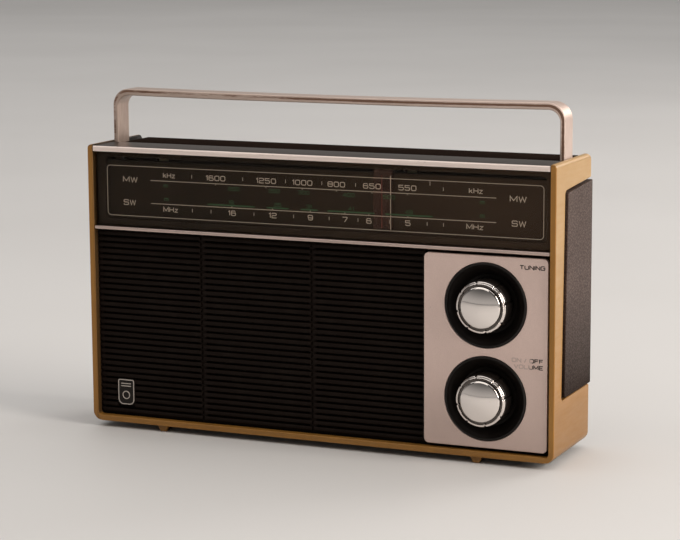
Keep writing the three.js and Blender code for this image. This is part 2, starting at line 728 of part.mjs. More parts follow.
function add(name, geometry, material) {
  const mesh = new THREE.Mesh(geometry, MATERIALS[material]);
  mesh.name = name;
  chassis.add(mesh);
}

add('cabinet', cabinet(), 'tan');
add('front_frame', frontFrame(), 'grille');
add('top_plate', topPlate(), 'aluminium');
add('divider_strip', dividerStrip(), 'aluminium');
add('grille', grille(), 'grille');
add('badge', badge(), 'aluminium');
add('knob_panel', knobPanel(), 'panel');
add('dial_window', dialWindow(), 'lens');
add('dial_plate', dialPlate(), 'scale');
add('rear_cover', rearCover(), 'cover');
add('battery_door', batteryDoor(), 'cover');
SCREWS.forEach((place, i) => add(`cover_screw_${i + 1}`, coverScrew(place), 'steel'));

[['tuning', TUNING_Z], ['volume', VOLUME_Z]].forEach(([name, z]) => {
  add(`${name}_well`, well(z), 'black');
  add(`${name}_knob`, knob(z), 'black');
  add(`${name}_knob_cap`, knobCap(z), 'chrome');
});
add('tuning_shaft', shaft(TUNING_Z, 24.5), 'steel');
add('volume_shaft', shaft(VOLUME_Z, 15), 'steel');
add('cord_drum', sheave(SHAFT_BORE, DRUM_R, [KNOB_X, TUNING_Z], 28), 'nylon');
Object.entries(PULLEYS).forEach(([name, place]) => add(`cord_pulley_${name}`, sheave(1.8, PULLEY_R, place, 12), 'nylon'));
add('dial_cord', dialCord(), 'white');
add('pointer_rail', pointerRail(), 'steel');
add('pointer_carriage', pointerCarriage(), 'black');
add('pointer_band', pointerBand(), 'tint');
add('pointer_line', pointerLine(), 'white');

add('tuning_capacitor', tuningCapacitor(), 'nylon');
add('volume_control', volumeControl(), 'steel');
add('circuit_board', circuitBoard(), 'board');
[[34, 90], [34, 74], [50, 66]].forEach(([x, z], i) => add(`if_can_${i + 1}`, ifCan(x, z), 'steel'));
add('electrolytic', electrolytic(56, 42), 'cell');
add('output_transformer', transformer(), 'copper');
add('ferrite_rod', rodX(ROD.radius, ROD.left, ROD.right, [ROD.y, ROD.z]), 'ferrite');
add('ferrite_coil', ferriteCoil(), 'copper');
add('rod_holder_left', rodHolder(-86), 'nylon');
add('rod_holder_right', rodHolder(40), 'nylon');
add('band_switch', bandSwitch(), 'steel');
add('band_switch_slider', bandSwitchSlider(), 'black');
add('earphone_socket', earphoneSocket(), 'black');

add('speaker_frame', speakerFrame(), 'steel');
add('speaker_cone', speakerCone(), 'paper');
add('speaker_magnet', speakerMagnet(), 'steel');

add('battery_box', batteryBox(), 'black');
for (let i = 0; i < CELL.count; i += 1) add(`battery_${i + 1}`, cell(i), 'cell');
add('battery_contact', contactPlate(), 'steel');
add('battery_spring', contactSpring(), 'steel');

add('handle', handle(), 'strap');
add('handle_pin_left', handlePin(-1), 'steel');
add('handle_pin_right', handlePin(1), 'steel');

export default radio;
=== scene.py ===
"""Looks of a portable two-band transistor radio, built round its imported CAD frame.

Pieces are measured in millimetres in the case frame of the CAD source: x is 0 in the middle of the case,
y is 0 at the front rim and z is 0 at the underside of the cabinet. P() turns that into the row frame, in
metres. Materials measure in millimetres of the row frame, and the studio is in metres.
"""

import math
from functools import partialmethod

import bmesh
import bpy
from mathutils import Matrix, Vector


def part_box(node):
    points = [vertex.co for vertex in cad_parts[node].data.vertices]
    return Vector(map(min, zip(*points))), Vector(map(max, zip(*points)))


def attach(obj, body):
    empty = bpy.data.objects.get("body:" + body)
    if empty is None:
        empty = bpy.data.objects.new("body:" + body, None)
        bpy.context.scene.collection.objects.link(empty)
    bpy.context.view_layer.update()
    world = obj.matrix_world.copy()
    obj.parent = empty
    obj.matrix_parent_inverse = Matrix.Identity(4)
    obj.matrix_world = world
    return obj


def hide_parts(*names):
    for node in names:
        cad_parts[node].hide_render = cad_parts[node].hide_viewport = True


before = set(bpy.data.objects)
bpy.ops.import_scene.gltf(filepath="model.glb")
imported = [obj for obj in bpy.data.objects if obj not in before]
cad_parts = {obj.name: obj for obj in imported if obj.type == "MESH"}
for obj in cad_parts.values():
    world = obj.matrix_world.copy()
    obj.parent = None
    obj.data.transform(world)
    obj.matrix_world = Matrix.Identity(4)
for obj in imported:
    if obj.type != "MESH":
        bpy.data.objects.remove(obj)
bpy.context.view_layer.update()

MM = 0.001
CABINET_LO, CABINET_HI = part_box("cabinet")
FOOT = 3.0  # height of the pegs
RIM_Y = CABINET_LO.y / MM  # the front rim in the row frame
HALF = CABINET_HI.x / MM
DEPTH = (CABINET_HI.y - CABINET_LO.y) / MM
WALL = 2.6
INNER = HALF - WALL
FACE = INNER - 0.3  # half width of the pieces between the side walls
HEIGHT = 131.0
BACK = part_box("rear_cover")[1].y / MM - RIM_Y
KNOB_X, KNOB_Z = 82.5, {"tuning": 68.2, "volume": 26.4}
STRIP_FRONT, STRIP_WIDTH, STRIP_THICK = 20.3, 11.0, 2.4
STRIP_TOP, STRIP_SAG, STRIP_BEND = 155.8, 0.7, 8.0
STRIP_SWELL = 0.35  # the bar is thicker than the legs by this much above and below
STRIP_RUN = FACE - STRIP_BEND  # half length of the straight part
STRIP_LOW = 117.5  # lower end of the legs


def P(x, y, z):
    """A point of the case frame, in the row frame in metres."""
    return Vector((x * MM, (y + RIM_Y) * MM, (z + FOOT) * MM))


# ------------------------------------------------------------------ camera

CAMERA_AT = P(418.5, -920.0, 246.8)
YAW, PITCH, ROLL = 0.4145, -0.1645, -0.0057
LENS = 120.3


def make_camera():
    ahead = Vector((-math.sin(YAW) * math.cos(PITCH), math.cos(YAW) * math.cos(PITCH), math.sin(PITCH)))
    right = Vector((math.cos(YAW), math.sin(YAW), 0))
    up = right.cross(ahead)
    tilt_right = math.cos(ROLL) * right + math.sin(ROLL) * up
    tilt_up = math.cos(ROLL) * up - math.sin(ROLL) * right
    data = bpy.data.cameras.new("camera")
    data.lens = LENS
    data.sensor_width = 36
    camera = bpy.data.objects.new("camera", data)
    turn = Matrix((tilt_right, tilt_up, -ahead)).transposed().to_4x4()
    camera.matrix_world = Matrix.Translation(CAMERA_AT) @ turn
    bpy.context.scene.collection.objects.link(camera)
    bpy.context.scene.camera = camera


make_camera()

# ------------------------------------------------------------------ materials


class Shader:
    """A small builder for node materials: each method adds a node and returns one of its outputs."""

    def __init__(self, name):
        self.material = bpy.data.materials.new(name)
        self.material.use_nodes = True
        self.nodes = self.material.node_tree.nodes
        self.links = self.material.node_tree.links
        self.nodes.clear()
        self.out = self.nodes.new("ShaderNodeOutputMaterial")
        self.bsdf = self.nodes.new("ShaderNodeBsdfPrincipled")
        self.links.new(self.bsdf.outputs[0], self.out.inputs["Surface"])
        self.coords = self.nodes.new("ShaderNodeTexCoord").outputs["Object"]

    def feed(self, socket, value):
        """Links an output to a socket, or sets the socket's value."""
        if isinstance(value, bpy.types.NodeSocket):
            self.links.new(value, socket)
        elif isinstance(value, tuple) and len(value) == 3 and socket.type == "RGBA":
            socket.default_value = (*value, 1)
        else:
            socket.default_value = value

    def set(self, **values):
        """Principled inputs by name, with _ for a space."""
        for key, value in values.items():
            self.feed(self.bsdf.inputs[key.replace("_", " ")], value)

    def add(self, kind, **values):
        """A new node, with its inputs by name, with _ for a space."""
        node = self.nodes.new("ShaderNode" + kind)
        for key, value in values.items():
            self.feed(node.inputs[key.replace("_", " ")], value)
        return node

    def stretch(self, x=1.0, y=1.0, z=1.0):
        """Object coordinates scaled along each axis, for grain that runs one way."""
        return self.add("Mapping", Scale=(x, y, z), Vector=self.coords).outputs[0]

    def noise(self, size_mm, detail=3.0, rough=0.55, vector=None):
        """Fractal noise whose blobs are about size_mm across."""
        vector = vector or self.coords
        node = self.add("TexNoise", Scale=1000.0 / size_mm, Detail=detail, Roughness=rough, Vector=vector)
        return node.outputs["Fac"]

    def cells(self, size_mm, smooth=None, vector=None):
        """Distance to the nearest of many scattered points."""
        node = self.add("TexVoronoi", Scale=1000.0 / size_mm, Vector=vector or self.coords)
        if smooth:
            node.feature = "SMOOTH_F1"
            node.inputs["Smoothness"].default_value = smooth
        return node.outputs["Distance"]

    def ramp(self, value, low, high, to_low=0.0, to_high=1.0):
        """Maps low..high to to_low..to_high, clamped."""
        node = self.add("MapRange", Value=value, From_Min=low, From_Max=high, To_Min=to_low, To_Max=to_high)
        return node.outputs[0]

    def math(self, operation, a, b=0.0):
        node = self.add("Math")
        node.operation = operation
        self.feed(node.inputs[0], a)
        self.feed(node.inputs[1], b)
        return node.outputs[0]

    times = partialmethod(math, "MULTIPLY")
    plus = partialmethod(math, "ADD")
    minus = partialmethod(math, "SUBTRACT")
    larger = partialmethod(math, "MAXIMUM")

    def mix(self, factor, a, b):
        """One colour blended into another."""
        node = self.add("Mix")
        node.data_type = "RGBA"
        for key, value in (("Factor", factor), ("A", a), ("B", b)):
            self.feed(node.inputs[key], value)
        return node.outputs["Result"]

    def layer(self, factor, under, over):
        """One closure over another."""
        node = self.add("MixShader")
        for socket, value in zip(node.inputs, (factor, under.outputs[0], over.outputs[0])):
            self.feed(socket, value)
        return node

    def bump(self, height, depth_mm, strength=1.0):
        return self.add("Bump", Distance=depth_mm * MM, Strength=strength, Height=height).outputs[0]

    def axis(self, name):
        """One object coordinate, in millimetres of the row frame."""
        return self.times(self.add("SeparateXYZ", Vector=self.coords).outputs[name], 1 / MM)

    def hypot(self, a, b):
        return self.math("SQRT", self.plus(self.math("POWER", a, 2.0), self.math("POWER", b, 2.0)))


def scaled(colour, factor):
    return tuple(c * factor for c in colour)


def tan_plastic():
    """Glossy moulded mustard tan with fine scratches; painted sheen lightens its sides high up, painted
    shade darkens them low down, and it darkens in blotches towards the bottom.
    """
    s = Shader("tan_plastic")
    y, z = s.axis("Y"), s.axis("Z")
    blotch = s.ramp(s.noise(38, 2), 0.35, 0.7)
    base = s.mix(blotch, (0.295, 0.136, 0.027), (0.335, 0.160, 0.034))
    # painted sheen: the sides are coloured paler and lighter higher up, as where light glances off them
    painted_sheen = s.mix(blotch, (0.365, 0.222, 0.092), (0.405, 0.252, 0.108))
    sides = s.ramp(y, RIM_Y + 0.2, RIM_Y + 1.2)
    base = s.mix(s.times(s.ramp(z, 26.0, 96.0), sides), base, painted_sheen)
    speck = s.ramp(s.noise(1.1, 2), 0.66, 0.78)
    base = s.mix(s.times(speck, 0.25), base, (0.20, 0.095, 0.025))
    # painted shade: the sides are coloured darker low down, below the cut-aways
    base = s.mix(s.times(sides, s.ramp(z, 22.0, 36.0, 0.7, 0.0)), base, (0.215, 0.096, 0.014))
    # darker in blotches towards the bottom
    bottom_darkening = s.times(s.times(s.ramp(z, 2.0, 16.0, 1.0, 0.0), s.noise(7, 4)), 0.7)
    base = s.mix(bottom_darkening, base, (0.16, 0.075, 0.020))

    # painted shade: the inner edge of the rim at the left is coloured dark, as where shade falls beside the
    # grille
    edge = s.ramp(s.math("ABSOLUTE", s.plus(s.axis("X"), INNER)), 0.25, 0.75, 1.0, 0.0)
    edge = s.times(edge, s.ramp(y, RIM_Y, RIM_Y + 0.9, 0.35, 0.93))
    base = s.mix(edge, base, (0.050, 0.026, 0.010))

    # painted shade: inside, the walls are coloured near black from the grille back, and from the end of the
    # top plate back above it
    inside = s.ramp(s.math("ABSOLUTE", s.axis("X")), INNER + 0.05, INNER + 0.35, 1.0, 0.0)
    behind = s.times(s.ramp(y, RIM_Y + 3.2, RIM_Y + 3.7), s.ramp(z, 122.0, 126.0, 1.0, 0.0))
    inside = s.times(inside, s.larger(behind, s.ramp(y, RIM_Y + 19.6, RIM_Y + 20.2)))
    base = s.mix(inside, base, (0.012, 0.009, 0.007))

    scratch = s.noise(2.4, 6, 0.7, s.stretch(1, 0.12, 1))
    peel = s.plus(s.noise(0.9, 2), s.times(s.noise(6.0, 2), 0.8))
    s.set(Base_Color=base, Roughness=s.ramp(scratch, 0.3, 0.75, 0.27, 0.46), Specular_IOR_Level=0.3)
    s.set(Normal=s.bump(peel, 0.02, 0.5))
    return s.material


def grained_cover():
    """Dark grey-brown plastic with a leather grain; on its deck and low on its wings it is less shiny and
    darkened by painted shade.
    """
    s = Shader("grained_cover")
    shift = s.add("TexNoise", Scale=700, Vector=s.coords).outputs["Color"]
    warp = s.add("VectorMath")  # bends the outlines of the pebbles
    warp.operation = "MULTIPLY_ADD"
    for socket, value in zip(warp.inputs, (shift, (0.0006, 0.0006, 0.0006), s.coords)):
        s.feed(socket, value)
    pebble = s.cells(0.95, 0.35, warp.outputs[0])
    height = s.minus(s.times(s.noise(0.35, 3), 0.35), pebble)
    high = s.ramp(pebble, 0.15, 0.6, 1.0, 0.0)
    dust = s.ramp(s.noise(22, 4), 0.45, 0.75)
    tint = (0.064, 0.036, 0.027)
    base = s.mix(high, scaled(tint, 0.6), scaled(tint, 1.25))
    base = s.mix(s.times(dust, 0.16), base, (0.15, 0.105, 0.085))
    crown = HEIGHT + FOOT
    deck = s.ramp(s.axis("Z"), crown - 2.2, crown - 0.9)
    wing = s.ramp(s.math("ABSOLUTE", s.axis("X")), 110.0, 113.0)
    low = s.times(wing, s.ramp(s.axis("Z"), 28.0, 78.0, 1.0, 0.0))
    # painted shade: the deck and the lower wings are coloured darker, and their specular is turned down
    dull = s.larger(deck, low)
    base = s.mix(s.times(dull, 0.8), base, (0.010, 0.0075, 0.006))
    s.set(Base_Color=base, Roughness=s.ramp(pebble, 0.1, 0.7, 0.42, 0.62), Normal=s.bump(height, 0.16, 0.8))
    s.set(Specular_IOR_Level=s.ramp(dull, 0.0, 1.0, 0.28, 0.0))
    return s.material


def brushed_metal(name, tint, rough):
    """Metal brushed along x, with faint stains and dull patches."""
    s = Shader(name)
    fibres = s.noise(0.32, 4, 0.6, s.stretch(0.012, 1, 1))
    base = s.mix(s.ramp(fibres, 0.3, 0.7), scaled(tint, 0.72), tint)
    stain = s.ramp(s.noise(5.5, 5), 0.62, 0.8)
    base = s.mix(s.times(stain, 0.35), base, scaled(tint, 0.45))
    dull = s.ramp(s.noise(26, 3), 0.4, 0.7, 0.0, 0.08)
    s.set(Base_Color=base, Metallic=1.0, Roughness=s.plus(s.ramp(fibres, 0.25, 0.75, *rough), dull))
    s.set(Normal=s.bump(fibres, 0.012, 0.5))
    return s.material


def top_sheet():
    """Brushed sheet: bright on the lip over the dial, duller on top and coloured dark there as painted
    shade.
    """
    s = Shader("top_sheet")
    fibres = s.noise(0.3, 4, 0.6, s.stretch(0.012, 1, 1))
    lip = s.ramp(s.axis("Y"), RIM_Y + 0.35, RIM_Y + 1.0, 1.0, 0.0)
    # painted shade: on top the sheet is coloured dark brown-grey, against the bright metal of the lip
    top = s.mix(s.ramp(fibres, 0.3, 0.7), (0.034, 0.024, 0.018), (0.066, 0.048, 0.037))
    bright = s.mix(s.ramp(fibres, 0.3, 0.7), (0.80, 0.67, 0.61), (0.94, 0.81, 0.745))
    base = s.mix(lip, top, bright)
    rub = s.ramp(s.noise(2.2, 5, 0.7, s.stretch(0.25, 1, 1)), 0.60, 0.74)
    base = s.mix(s.times(rub, 0.5), base, (0.16, 0.11, 0.09))
    s.set(Base_Color=base, Metallic=s.ramp(lip, 0.0, 1.0, 0.75, 0.3))
    s.set(Roughness=s.ramp(fibres, 0.25, 0.75, 0.30, 0.46), Normal=s.bump(fibres, 0.012, 0.4))
    s.set(Specular_IOR_Level=s.ramp(lip, 0.0, 1.0, 0.12, 0.5))
    return s.material


def lacquered_panel():
    """Silver-grey lacquer with metal flake and small pits, darkened low down by painted shade."""
    s = Shader("lacquered_panel")
    flake = s.ramp(s.noise(0.16, 1), 0.4, 0.7)
    base = s.mix(flake, (0.70, 0.535, 0.475), (0.83, 0.645, 0.580))
    # painted shade: the lacquer is coloured darker towards the bottom
    base = s.mix(s.ramp(s.axis("Z"), 52.0, 8.0, 0.0, 0.62), base, (0.47, 0.355, 0.310))
    cloud = s.ramp(s.noise(24, 3), 0.4, 0.7)
    base = s.mix(s.times(cloud, 0.25), base, (0.56, 0.42, 0.365))
    pit = s.ramp(s.cells(5.0), 0.035, 0.075, 1.0, 0.0)
    pit = s.times(pit, s.ramp(s.noise(11, 1), 0.55, 0.62))
    base = s.mix(s.times(pit, 0.8), base, (0.07, 0.055, 0.045))
    s.set(Base_Color=base, Metallic=0.45, Roughness=s.ramp(s.noise(3, 4), 0.3, 0.7, 0.36, 0.47))
    s.set(Normal=s.bump(s.minus(s.noise(0.5, 3), pit), 0.03, 0.4))
    return s.material


def black_plastic(name, rough, dust, base, gloss):
    """Black moulding with faint flow marks and a little dust."""
    s = Shader(name)
    film = s.ramp(s.noise(9, 5, 0.65), 0.48, 0.78)
    colour = s.mix(s.times(film, dust), base, (0.16, 0.12, 0.09))
    marks = s.noise(1.6, 5, 0.7)
    s.set(Base_Color=colour, Roughness=s.ramp(marks, 0.3, 0.75, rough - 0.05, rough + 0.09))
    s.set(Specular_IOR_Level=gloss, Normal=s.bump(s.noise(0.45, 3), 0.012, 0.4))
    return s.material


def mirror_chrome():
    """Bright plating with hairline wipe marks and dull freckles, with painted shade in the groove round
    each dome.
    """
    s = Shader("mirror_chrome")
    wipe = s.noise(0.5, 5, 0.7, s.stretch(1, 1, 0.06))
    freckle = s.ramp(s.cells(1.7), 0.05, 0.11, 1.0, 0.0)
    freckle = s.times(freckle, s.ramp(s.noise(3.2, 2), 0.52, 0.6))
    base = s.mix(s.times(freckle, 0.6), (0.84, 0.78, 0.74), (0.30, 0.24, 0.19))
    # painted shade: the narrow groove between each dome and its rim is coloured near black
    across, up = s.minus(s.axis("X"), KNOB_X), s.axis("Z")
    reach = s.math("MINIMUM", *(s.hypot(across, s.minus(up, z + FOOT)) for z in KNOB_Z.values()))
    groove_shade = s.times(s.ramp(reach, 9.15, 9.35), s.ramp(reach, 10.25, 10.45, 1.0, 0.0))
    base = s.mix(s.times(groove_shade, 0.93), base, (0.035, 0.027, 0.022))
    rough = s.plus(s.ramp(wipe, 0.35, 0.8, 0.025, 0.10), s.times(freckle, 0.3))
    s.set(Base_Color=base, Metallic=1.0, Roughness=rough, Normal=s.bump(wipe, 0.003, 0.25))
    return s.material


def worn_handle():
    """Satin silver coating, made brighter to the right by painted light, worn through to brown in a line
    along its front edge.
    """
    s = Shader("worn_handle")
    hairs = s.ramp(s.noise(0.4, 4, 0.6, s.stretch(0.02, 1, 0.08)), 0.3, 0.7)
    # painted light: the coat is coloured brighter towards the right end, where light falls on the handle,
    # and darker at the left
    shaded_coat = s.mix(hairs, (0.38, 0.285, 0.235), (0.50, 0.385, 0.325))
    bright = s.mix(hairs, (0.55, 0.42, 0.355), (0.71, 0.56, 0.49))
    coat = s.mix(s.ramp(s.axis("X"), -HALF, HALF), shaded_coat, bright)

    # how far a point is inside the strip: 0 on the outside of the bend, STRIP_THICK on the inside
    across = s.math("ABSOLUTE", s.axis("X"))
    bar = s.math("POWER", s.times(across, 1 / STRIP_RUN), 2.0)
    dip = s.times(s.larger(s.minus(1.0, bar), 0.0), STRIP_SAG)
    side = s.larger(s.minus(across, STRIP_RUN), 0.0)
    rise = s.larger(s.minus(s.plus(s.axis("Z"), dip), STRIP_TOP + FOOT - STRIP_BEND), 0.0)
    inward = s.minus(STRIP_BEND, s.hypot(side, rise))

    centre = s.ramp(s.axis("X"), -90.0, 60.0, 0.75, 1.0)
    off = s.math("ABSOLUTE", s.minus(inward, centre))
    near = s.ramp(s.minus(s.axis("Y"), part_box("handle")[0].y / MM), 0.15, 0.75, 1.0, 0.0)
    line = s.times(s.ramp(off, 0.35, 0.75, 1.0, 0.0), near)
    streak = s.noise(3.2, 6, 0.75, s.stretch(0.14, 1, 1))
    rubbed = s.times(line, s.ramp(s.axis("X"), -60.0, 40.0, 0.24, 0.46))
    wear = s.ramp(s.plus(streak, rubbed), 0.66, 0.80)
    chip = s.ramp(s.noise(1.3, 4, 0.6), 0.69, 0.73)
    wear = s.larger(s.times(wear, 0.92), s.times(chip, 0.35))
    colour = s.mix(wear, coat, s.mix(s.noise(1.2, 3), (0.10, 0.040, 0.018), (0.19, 0.090, 0.046)))
    dull = s.larger(wear, near)
    s.set(Base_Color=colour, Metallic=s.ramp(dull, 0.0, 1.0, 0.6, 0.12))
    s.set(Roughness=s.ramp(wear, 0.0, 1.0, 0.36, 0.6))
    s.set(Normal=s.bump(s.minus(s.times(hairs, 0.3), wear), 0.03, 0.5))
    return s.material


def clear_plastic(name, tint, haze, rough, film):
    """A clear moulding: see-through apart from a grazing sheen and a thin haze of scratches."""
    s = Shader(name)
    s.nodes.remove(s.bsdf)
    # Schlick's curve on the facing angle, because a Fresnel node turns back faces into mirrors
    glance = s.add("LayerWeight").outputs["Facing"]
    mirror = s.plus(s.times(s.math("POWER", glance, 5.0), 0.96), 0.04)
    sheen = s.mix(s.ramp(mirror, 0.05, 0.5), (0.07, 0.065, 0.061), (0.8, 0.76, 0.73))
    gloss = s.add("BsdfGlossy", Color=sheen, Roughness=rough, Normal=s.bump(s.noise(60, 1), 0.02, 0.3))
    scuffs = s.ramp(s.noise(3.2, 6, 0.75), 0.5, 0.85, haze * 0.35, haze * 2.2)
    dusty = s.layer(scuffs, s.add("BsdfTransparent", Color=tint), s.add("BsdfDiffuse", Color=film))
    s.feed(s.out.inputs["Surface"], s.layer(s.times(mirror, 2.0), dusty, gloss).outputs[0])
    return s.material


def ink(name, colour, wear=0.25):
    """Screen print, slightly uneven."""
    s = Shader(name)
    thin = s.ramp(s.noise(0.7, 4, 0.7), 0.45, 0.75)
    s.set(Base_Color=s.mix(s.times(thin, wear), colour, scaled(colour, 0.35)), Roughness=0.5)
    s.set(Normal=s.bump(s.noise(0.3, 2), 0.005, 0.3))
    return s.material


def panel_ink():
    """Dark print on the panel, rubbed away where a thumb passes the volume knob."""
    s = Shader("panel_ink")
    thumb = s.ramp(s.axis("X"), 101.0, 106.0, 1.0, 0.0)
    thumb = s.times(thumb, s.ramp(s.axis("Z"), 55.0, 60.0, 1.0, 0.0))
    rubbed = s.ramp(s.plus(s.noise(1.6, 4, 0.7), s.times(thumb, 0.50)), 0.66, 0.80)
    s.set(Base_Color=s.mix(rubbed, (0.030, 0.018, 0.013), (0.50, 0.385, 0.345)), Roughness=0.5)
    s.set(Normal=s.bump(s.noise(0.3, 2), 0.005, 0.3))
    return s.material


def dial_black():
    """Matt black behind the dial print, lightened warm towards the right by painted light, with an uneven
    cloud.
    """
    s = Shader("scale_black")
    cloud = s.noise(9, 3)
    # painted light: the backing is coloured warmer and lighter towards the right
    right_light_and_cloud = s.plus(s.ramp(s.axis("X"), -60.0, 110.0, 0.0, 0.8), s.times(cloud, 0.3))
    s.set(Base_Color=s.mix(right_light_and_cloud, (0.025, 0.020, 0.015), (0.082, 0.055, 0.0385)), Specular_IOR_Level=0.08)
    s.set(Roughness=s.ramp(cloud, 0.3, 0.7, 0.6, 0.7), Normal=s.bump(s.noise(4, 2), 0.002, 0.2))
    return s.material


def badge_metal():
    """Bright raised lines over a dark enamelled field."""
    s = Shader("badge_metal")
    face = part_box("badge")[0].y / MM
    low = s.ramp(s.axis("Y"), face + 0.06, face + 0.14)
    speck = s.noise(0.6, 3)
    bright = s.mix(speck, (0.36, 0.31, 0.27), (0.60, 0.54, 0.49))
    field = s.mix(speck, (0.008, 0.007, 0.006), (0.028, 0.023, 0.020))
    s.set(Base_Color=s.mix(low, bright, field), Metallic=s.ramp(low, 0.0, 1.0, 0.35, 0.0))
    s.set(Roughness=s.ramp(speck, 0.3, 0.7, 0.28, 0.42), Normal=s.bump(speck, 0.01, 0.4))
    s.set(Specular_IOR_Level=s.ramp(low, 0.0, 1.0, 0.5, 0.1))
    return s.material


def mottled(name, dark, light, size, rough, metallic=0.0, depth=0.02, gloss=0.5):
    """A plain engineering finish with a mottle, for pieces inside the case."""
    s = Shader(name)
    grain = s.noise(size, 4, 0.6)
    s.set(Base_Color=s.mix(s.ramp(grain, 0.3, 0.7), dark, light), Metallic=metallic)
    s.set(Roughness=s.ramp(grain, 0.3, 0.7, rough - 0.06, rough + 0.06), Specular_IOR_Level=gloss)
    s.set(Normal=s.bump(s.noise(size * 0.3, 2), depth, 0.4))
    return s.material


MAT = {
    "tan": tan_plastic(),
    "cover": grained_cover(),
    "top": top_sheet(),
    "trim": brushed_metal("trim_metal", (0.68, 0.535, 0.475), (0.22, 0.34)),
    "panel": lacquered_panel(),
    "grille": black_plastic("grille_black", 0.55, 0.03, (0.0090, 0.0052, 0.0037), 0.07),
    "black": black_plastic("gloss_black", 0.34, 0.04, (0.0070, 0.0052, 0.0044), 0.22),
    "baffle": black_plastic("baffle_black", 0.8, 0.02, (0.022, 0.0165, 0.0130), 0.1),
    "scale": dial_black(),
    "badge": badge_metal(),
    "lens": clear_plastic("dial_lens", (0.97, 0.94, 0.90), 0.03, 0.03, (0.05, 0.042, 0.036)),
    "tint": clear_plastic("pointer_tint", (0.84, 0.70, 0.66), 0.42, 0.12, (0.32, 0.20, 0.175)),
    "red": ink("red_ink", (0.22, 0.045, 0.032), 0.4),
    "chrome": mirror_chrome(),
    "handle": worn_handle(),
    "white": ink("white_ink", (0.84, 0.77, 0.69)),
    "green": ink("green_ink", (0.050, 0.165, 0.070)),
    "dark": panel_ink(),
    "steel": brushed_metal("plated_steel", (0.50, 0.50, 0.50), (0.25, 0.42)),
    "basket": mottled("basket_steel", (0.010, 0.009, 0.008), (0.020, 0.018, 0.016), 1.5, 0.62, 0.3,
                      gloss=0.2),
    "nylon": mottled("nylon", (0.60, 0.53, 0.34), (0.68, 0.61, 0.42), 3, 0.45),
    "board": mottled("phenolic_board", (0.26, 0.15, 0.05), (0.34, 0.20, 0.08), 1.2, 0.55),
    "copper": mottled("copper_winding", (0.36, 0.13, 0.05), (0.60, 0.26, 0.11), 0.35, 0.35, 0.8, 0.08),
    "ferrite": mottled("ferrite", (0.02, 0.019, 0.019), (0.04, 0.038, 0.038), 0.8, 0.6),
    "paper": mottled("speaker_paper", (0.012, 0.010, 0.009), (0.03, 0.025, 0.022), 0.9, 0.9, 0.0, 0.1),
    "cell": mottled("cell_jacket", (0.035, 0.06, 0.10), (0.05, 0.085, 0.14), 6, 0.3, 0.3),
    "cord": mottled("cord_nylon", (0.55, 0.50, 0.40), (0.70, 0.65, 0.52), 0.3, 0.7, 0.0, 0.05),
}

# ------------------------------------------------------------------ geometry


def fillet(corners, step=math.radians(9), closed=True):
    """An outline from (u, v) or (u, v, radius) corners, with each radius as an arc."""
    points = []
    count = len(corners)
    for i, corner in enumerate(corners):
        here = Vector(corner[:2])
        radius = corner[2] if len(corner) > 2 and (closed or 0 < i < count - 1) else 0
        if radius <= 0:
            points.append(here)
            continue
        back = (Vector(corners[i - 1][:2]) - here).normalized()
        on = (Vector(corners[(i + 1) % count][:2]) - here).normalized()
        half = back.angle(on) / 2
        centre = here + (back + on).normalized() * (radius / math.sin(half))
        first = here + back * (radius / math.tan(half)) - centre
        last = here + on * (radius / math.tan(half)) - centre
        turn = first.angle_signed(last)
        steps = max(2, round(abs(turn) / step))
        for k in range(steps + 1):
            points.append(centre + (Matrix.Rotation(-turn * k / steps, 2) @ first))
    return [tuple(p) for p in points]


PLACE = {
    "x": lambda u, v, w: P(w, u, v),  # outline in y and z
    "y": lambda u, v, w: P(u, w, v),  # outline in x and z
    "z": lambda u, v, w: P(u, v, w),  # outline in x and y
}


def prism(corners, axis, low, high, bm=None):
    """An outline made solid along an axis, added to a bmesh."""
    bm = bm or bmesh.new()
    points = fillet(corners)
    rings = [[bm.verts.new(PLACE[axis](u, v, w)) for u, v in points] for w in (low, high)]
    faces = [bm.faces.new(rings[0]), bm.faces.new(rings[1])]
    for i in range(len(points)):
        j = (i + 1) % len(points)
        faces.append(bm.faces.new((rings[0][i], rings[0][j], rings[1][j], rings[1][i])))
    bmesh.ops.recalc_face_normals(bm, faces=faces)
    return bm


def rectangle(x, z, radius=0, upper=None):
    """Four corners, round by radius, or by another radius at the top."""
    if upper is None:
        upper = radius
    return [(x[0], z[0], radius), (x[1], z[0], radius), (x[1], z[1], upper), (x[0], z[1], upper)]


def box(x, y, z, radius=0, bm=None):
    """A box whose front-view corners may be round."""
    return prism(rectangle(x, z, radius), "y", *y, bm)


def lathe(profile, centre, steps, shape=None):
    """A closed or axis-to-axis profile of (radius, y), turned. shape(radius, angle) can push a point in."""
    bm = bmesh.new()
    x, z = centre
    closed = profile[0] == profile[-1]
    rings = []
    for radius, y in profile[:-1] if closed else profile:
        if radius < 1e-6:
            rings.append([bm.verts.new(P(x, y, z))])
            continue
        ring = []
        for k in range(steps):
            angle = 2 * math.pi * k / steps
            r = shape(radius, angle) if shape else radius
            ring.append(bm.verts.new(P(x + r * math.cos(angle), y, z + r * math.sin(angle))))
        rings.append(ring)
    faces = []
    for a, b in list(zip(rings, rings[1:])) + ([(rings[-1], rings[0])] if closed else []):
        for k in range(steps):
            m = (k + 1) % steps
            if len(a) == 1 and len(b) == 1:
                break
            if len(a) == 1:
                corners = (a[0], b[k], b[m])
            elif len(b) == 1:
                corners = (a[k], a[m], b[0])
            else:
                corners = (a[k], a[m], b[m], b[k])
            faces.append(bm.faces.new(corners))
    bmesh.ops.recalc_face_normals(bm, faces=faces)
    return bm


def rod(centre, radius, y0, y1, steps=48):
    return lathe([(0, y0), (radius, y0), (radius, y1), (0, y1)], centre, steps)


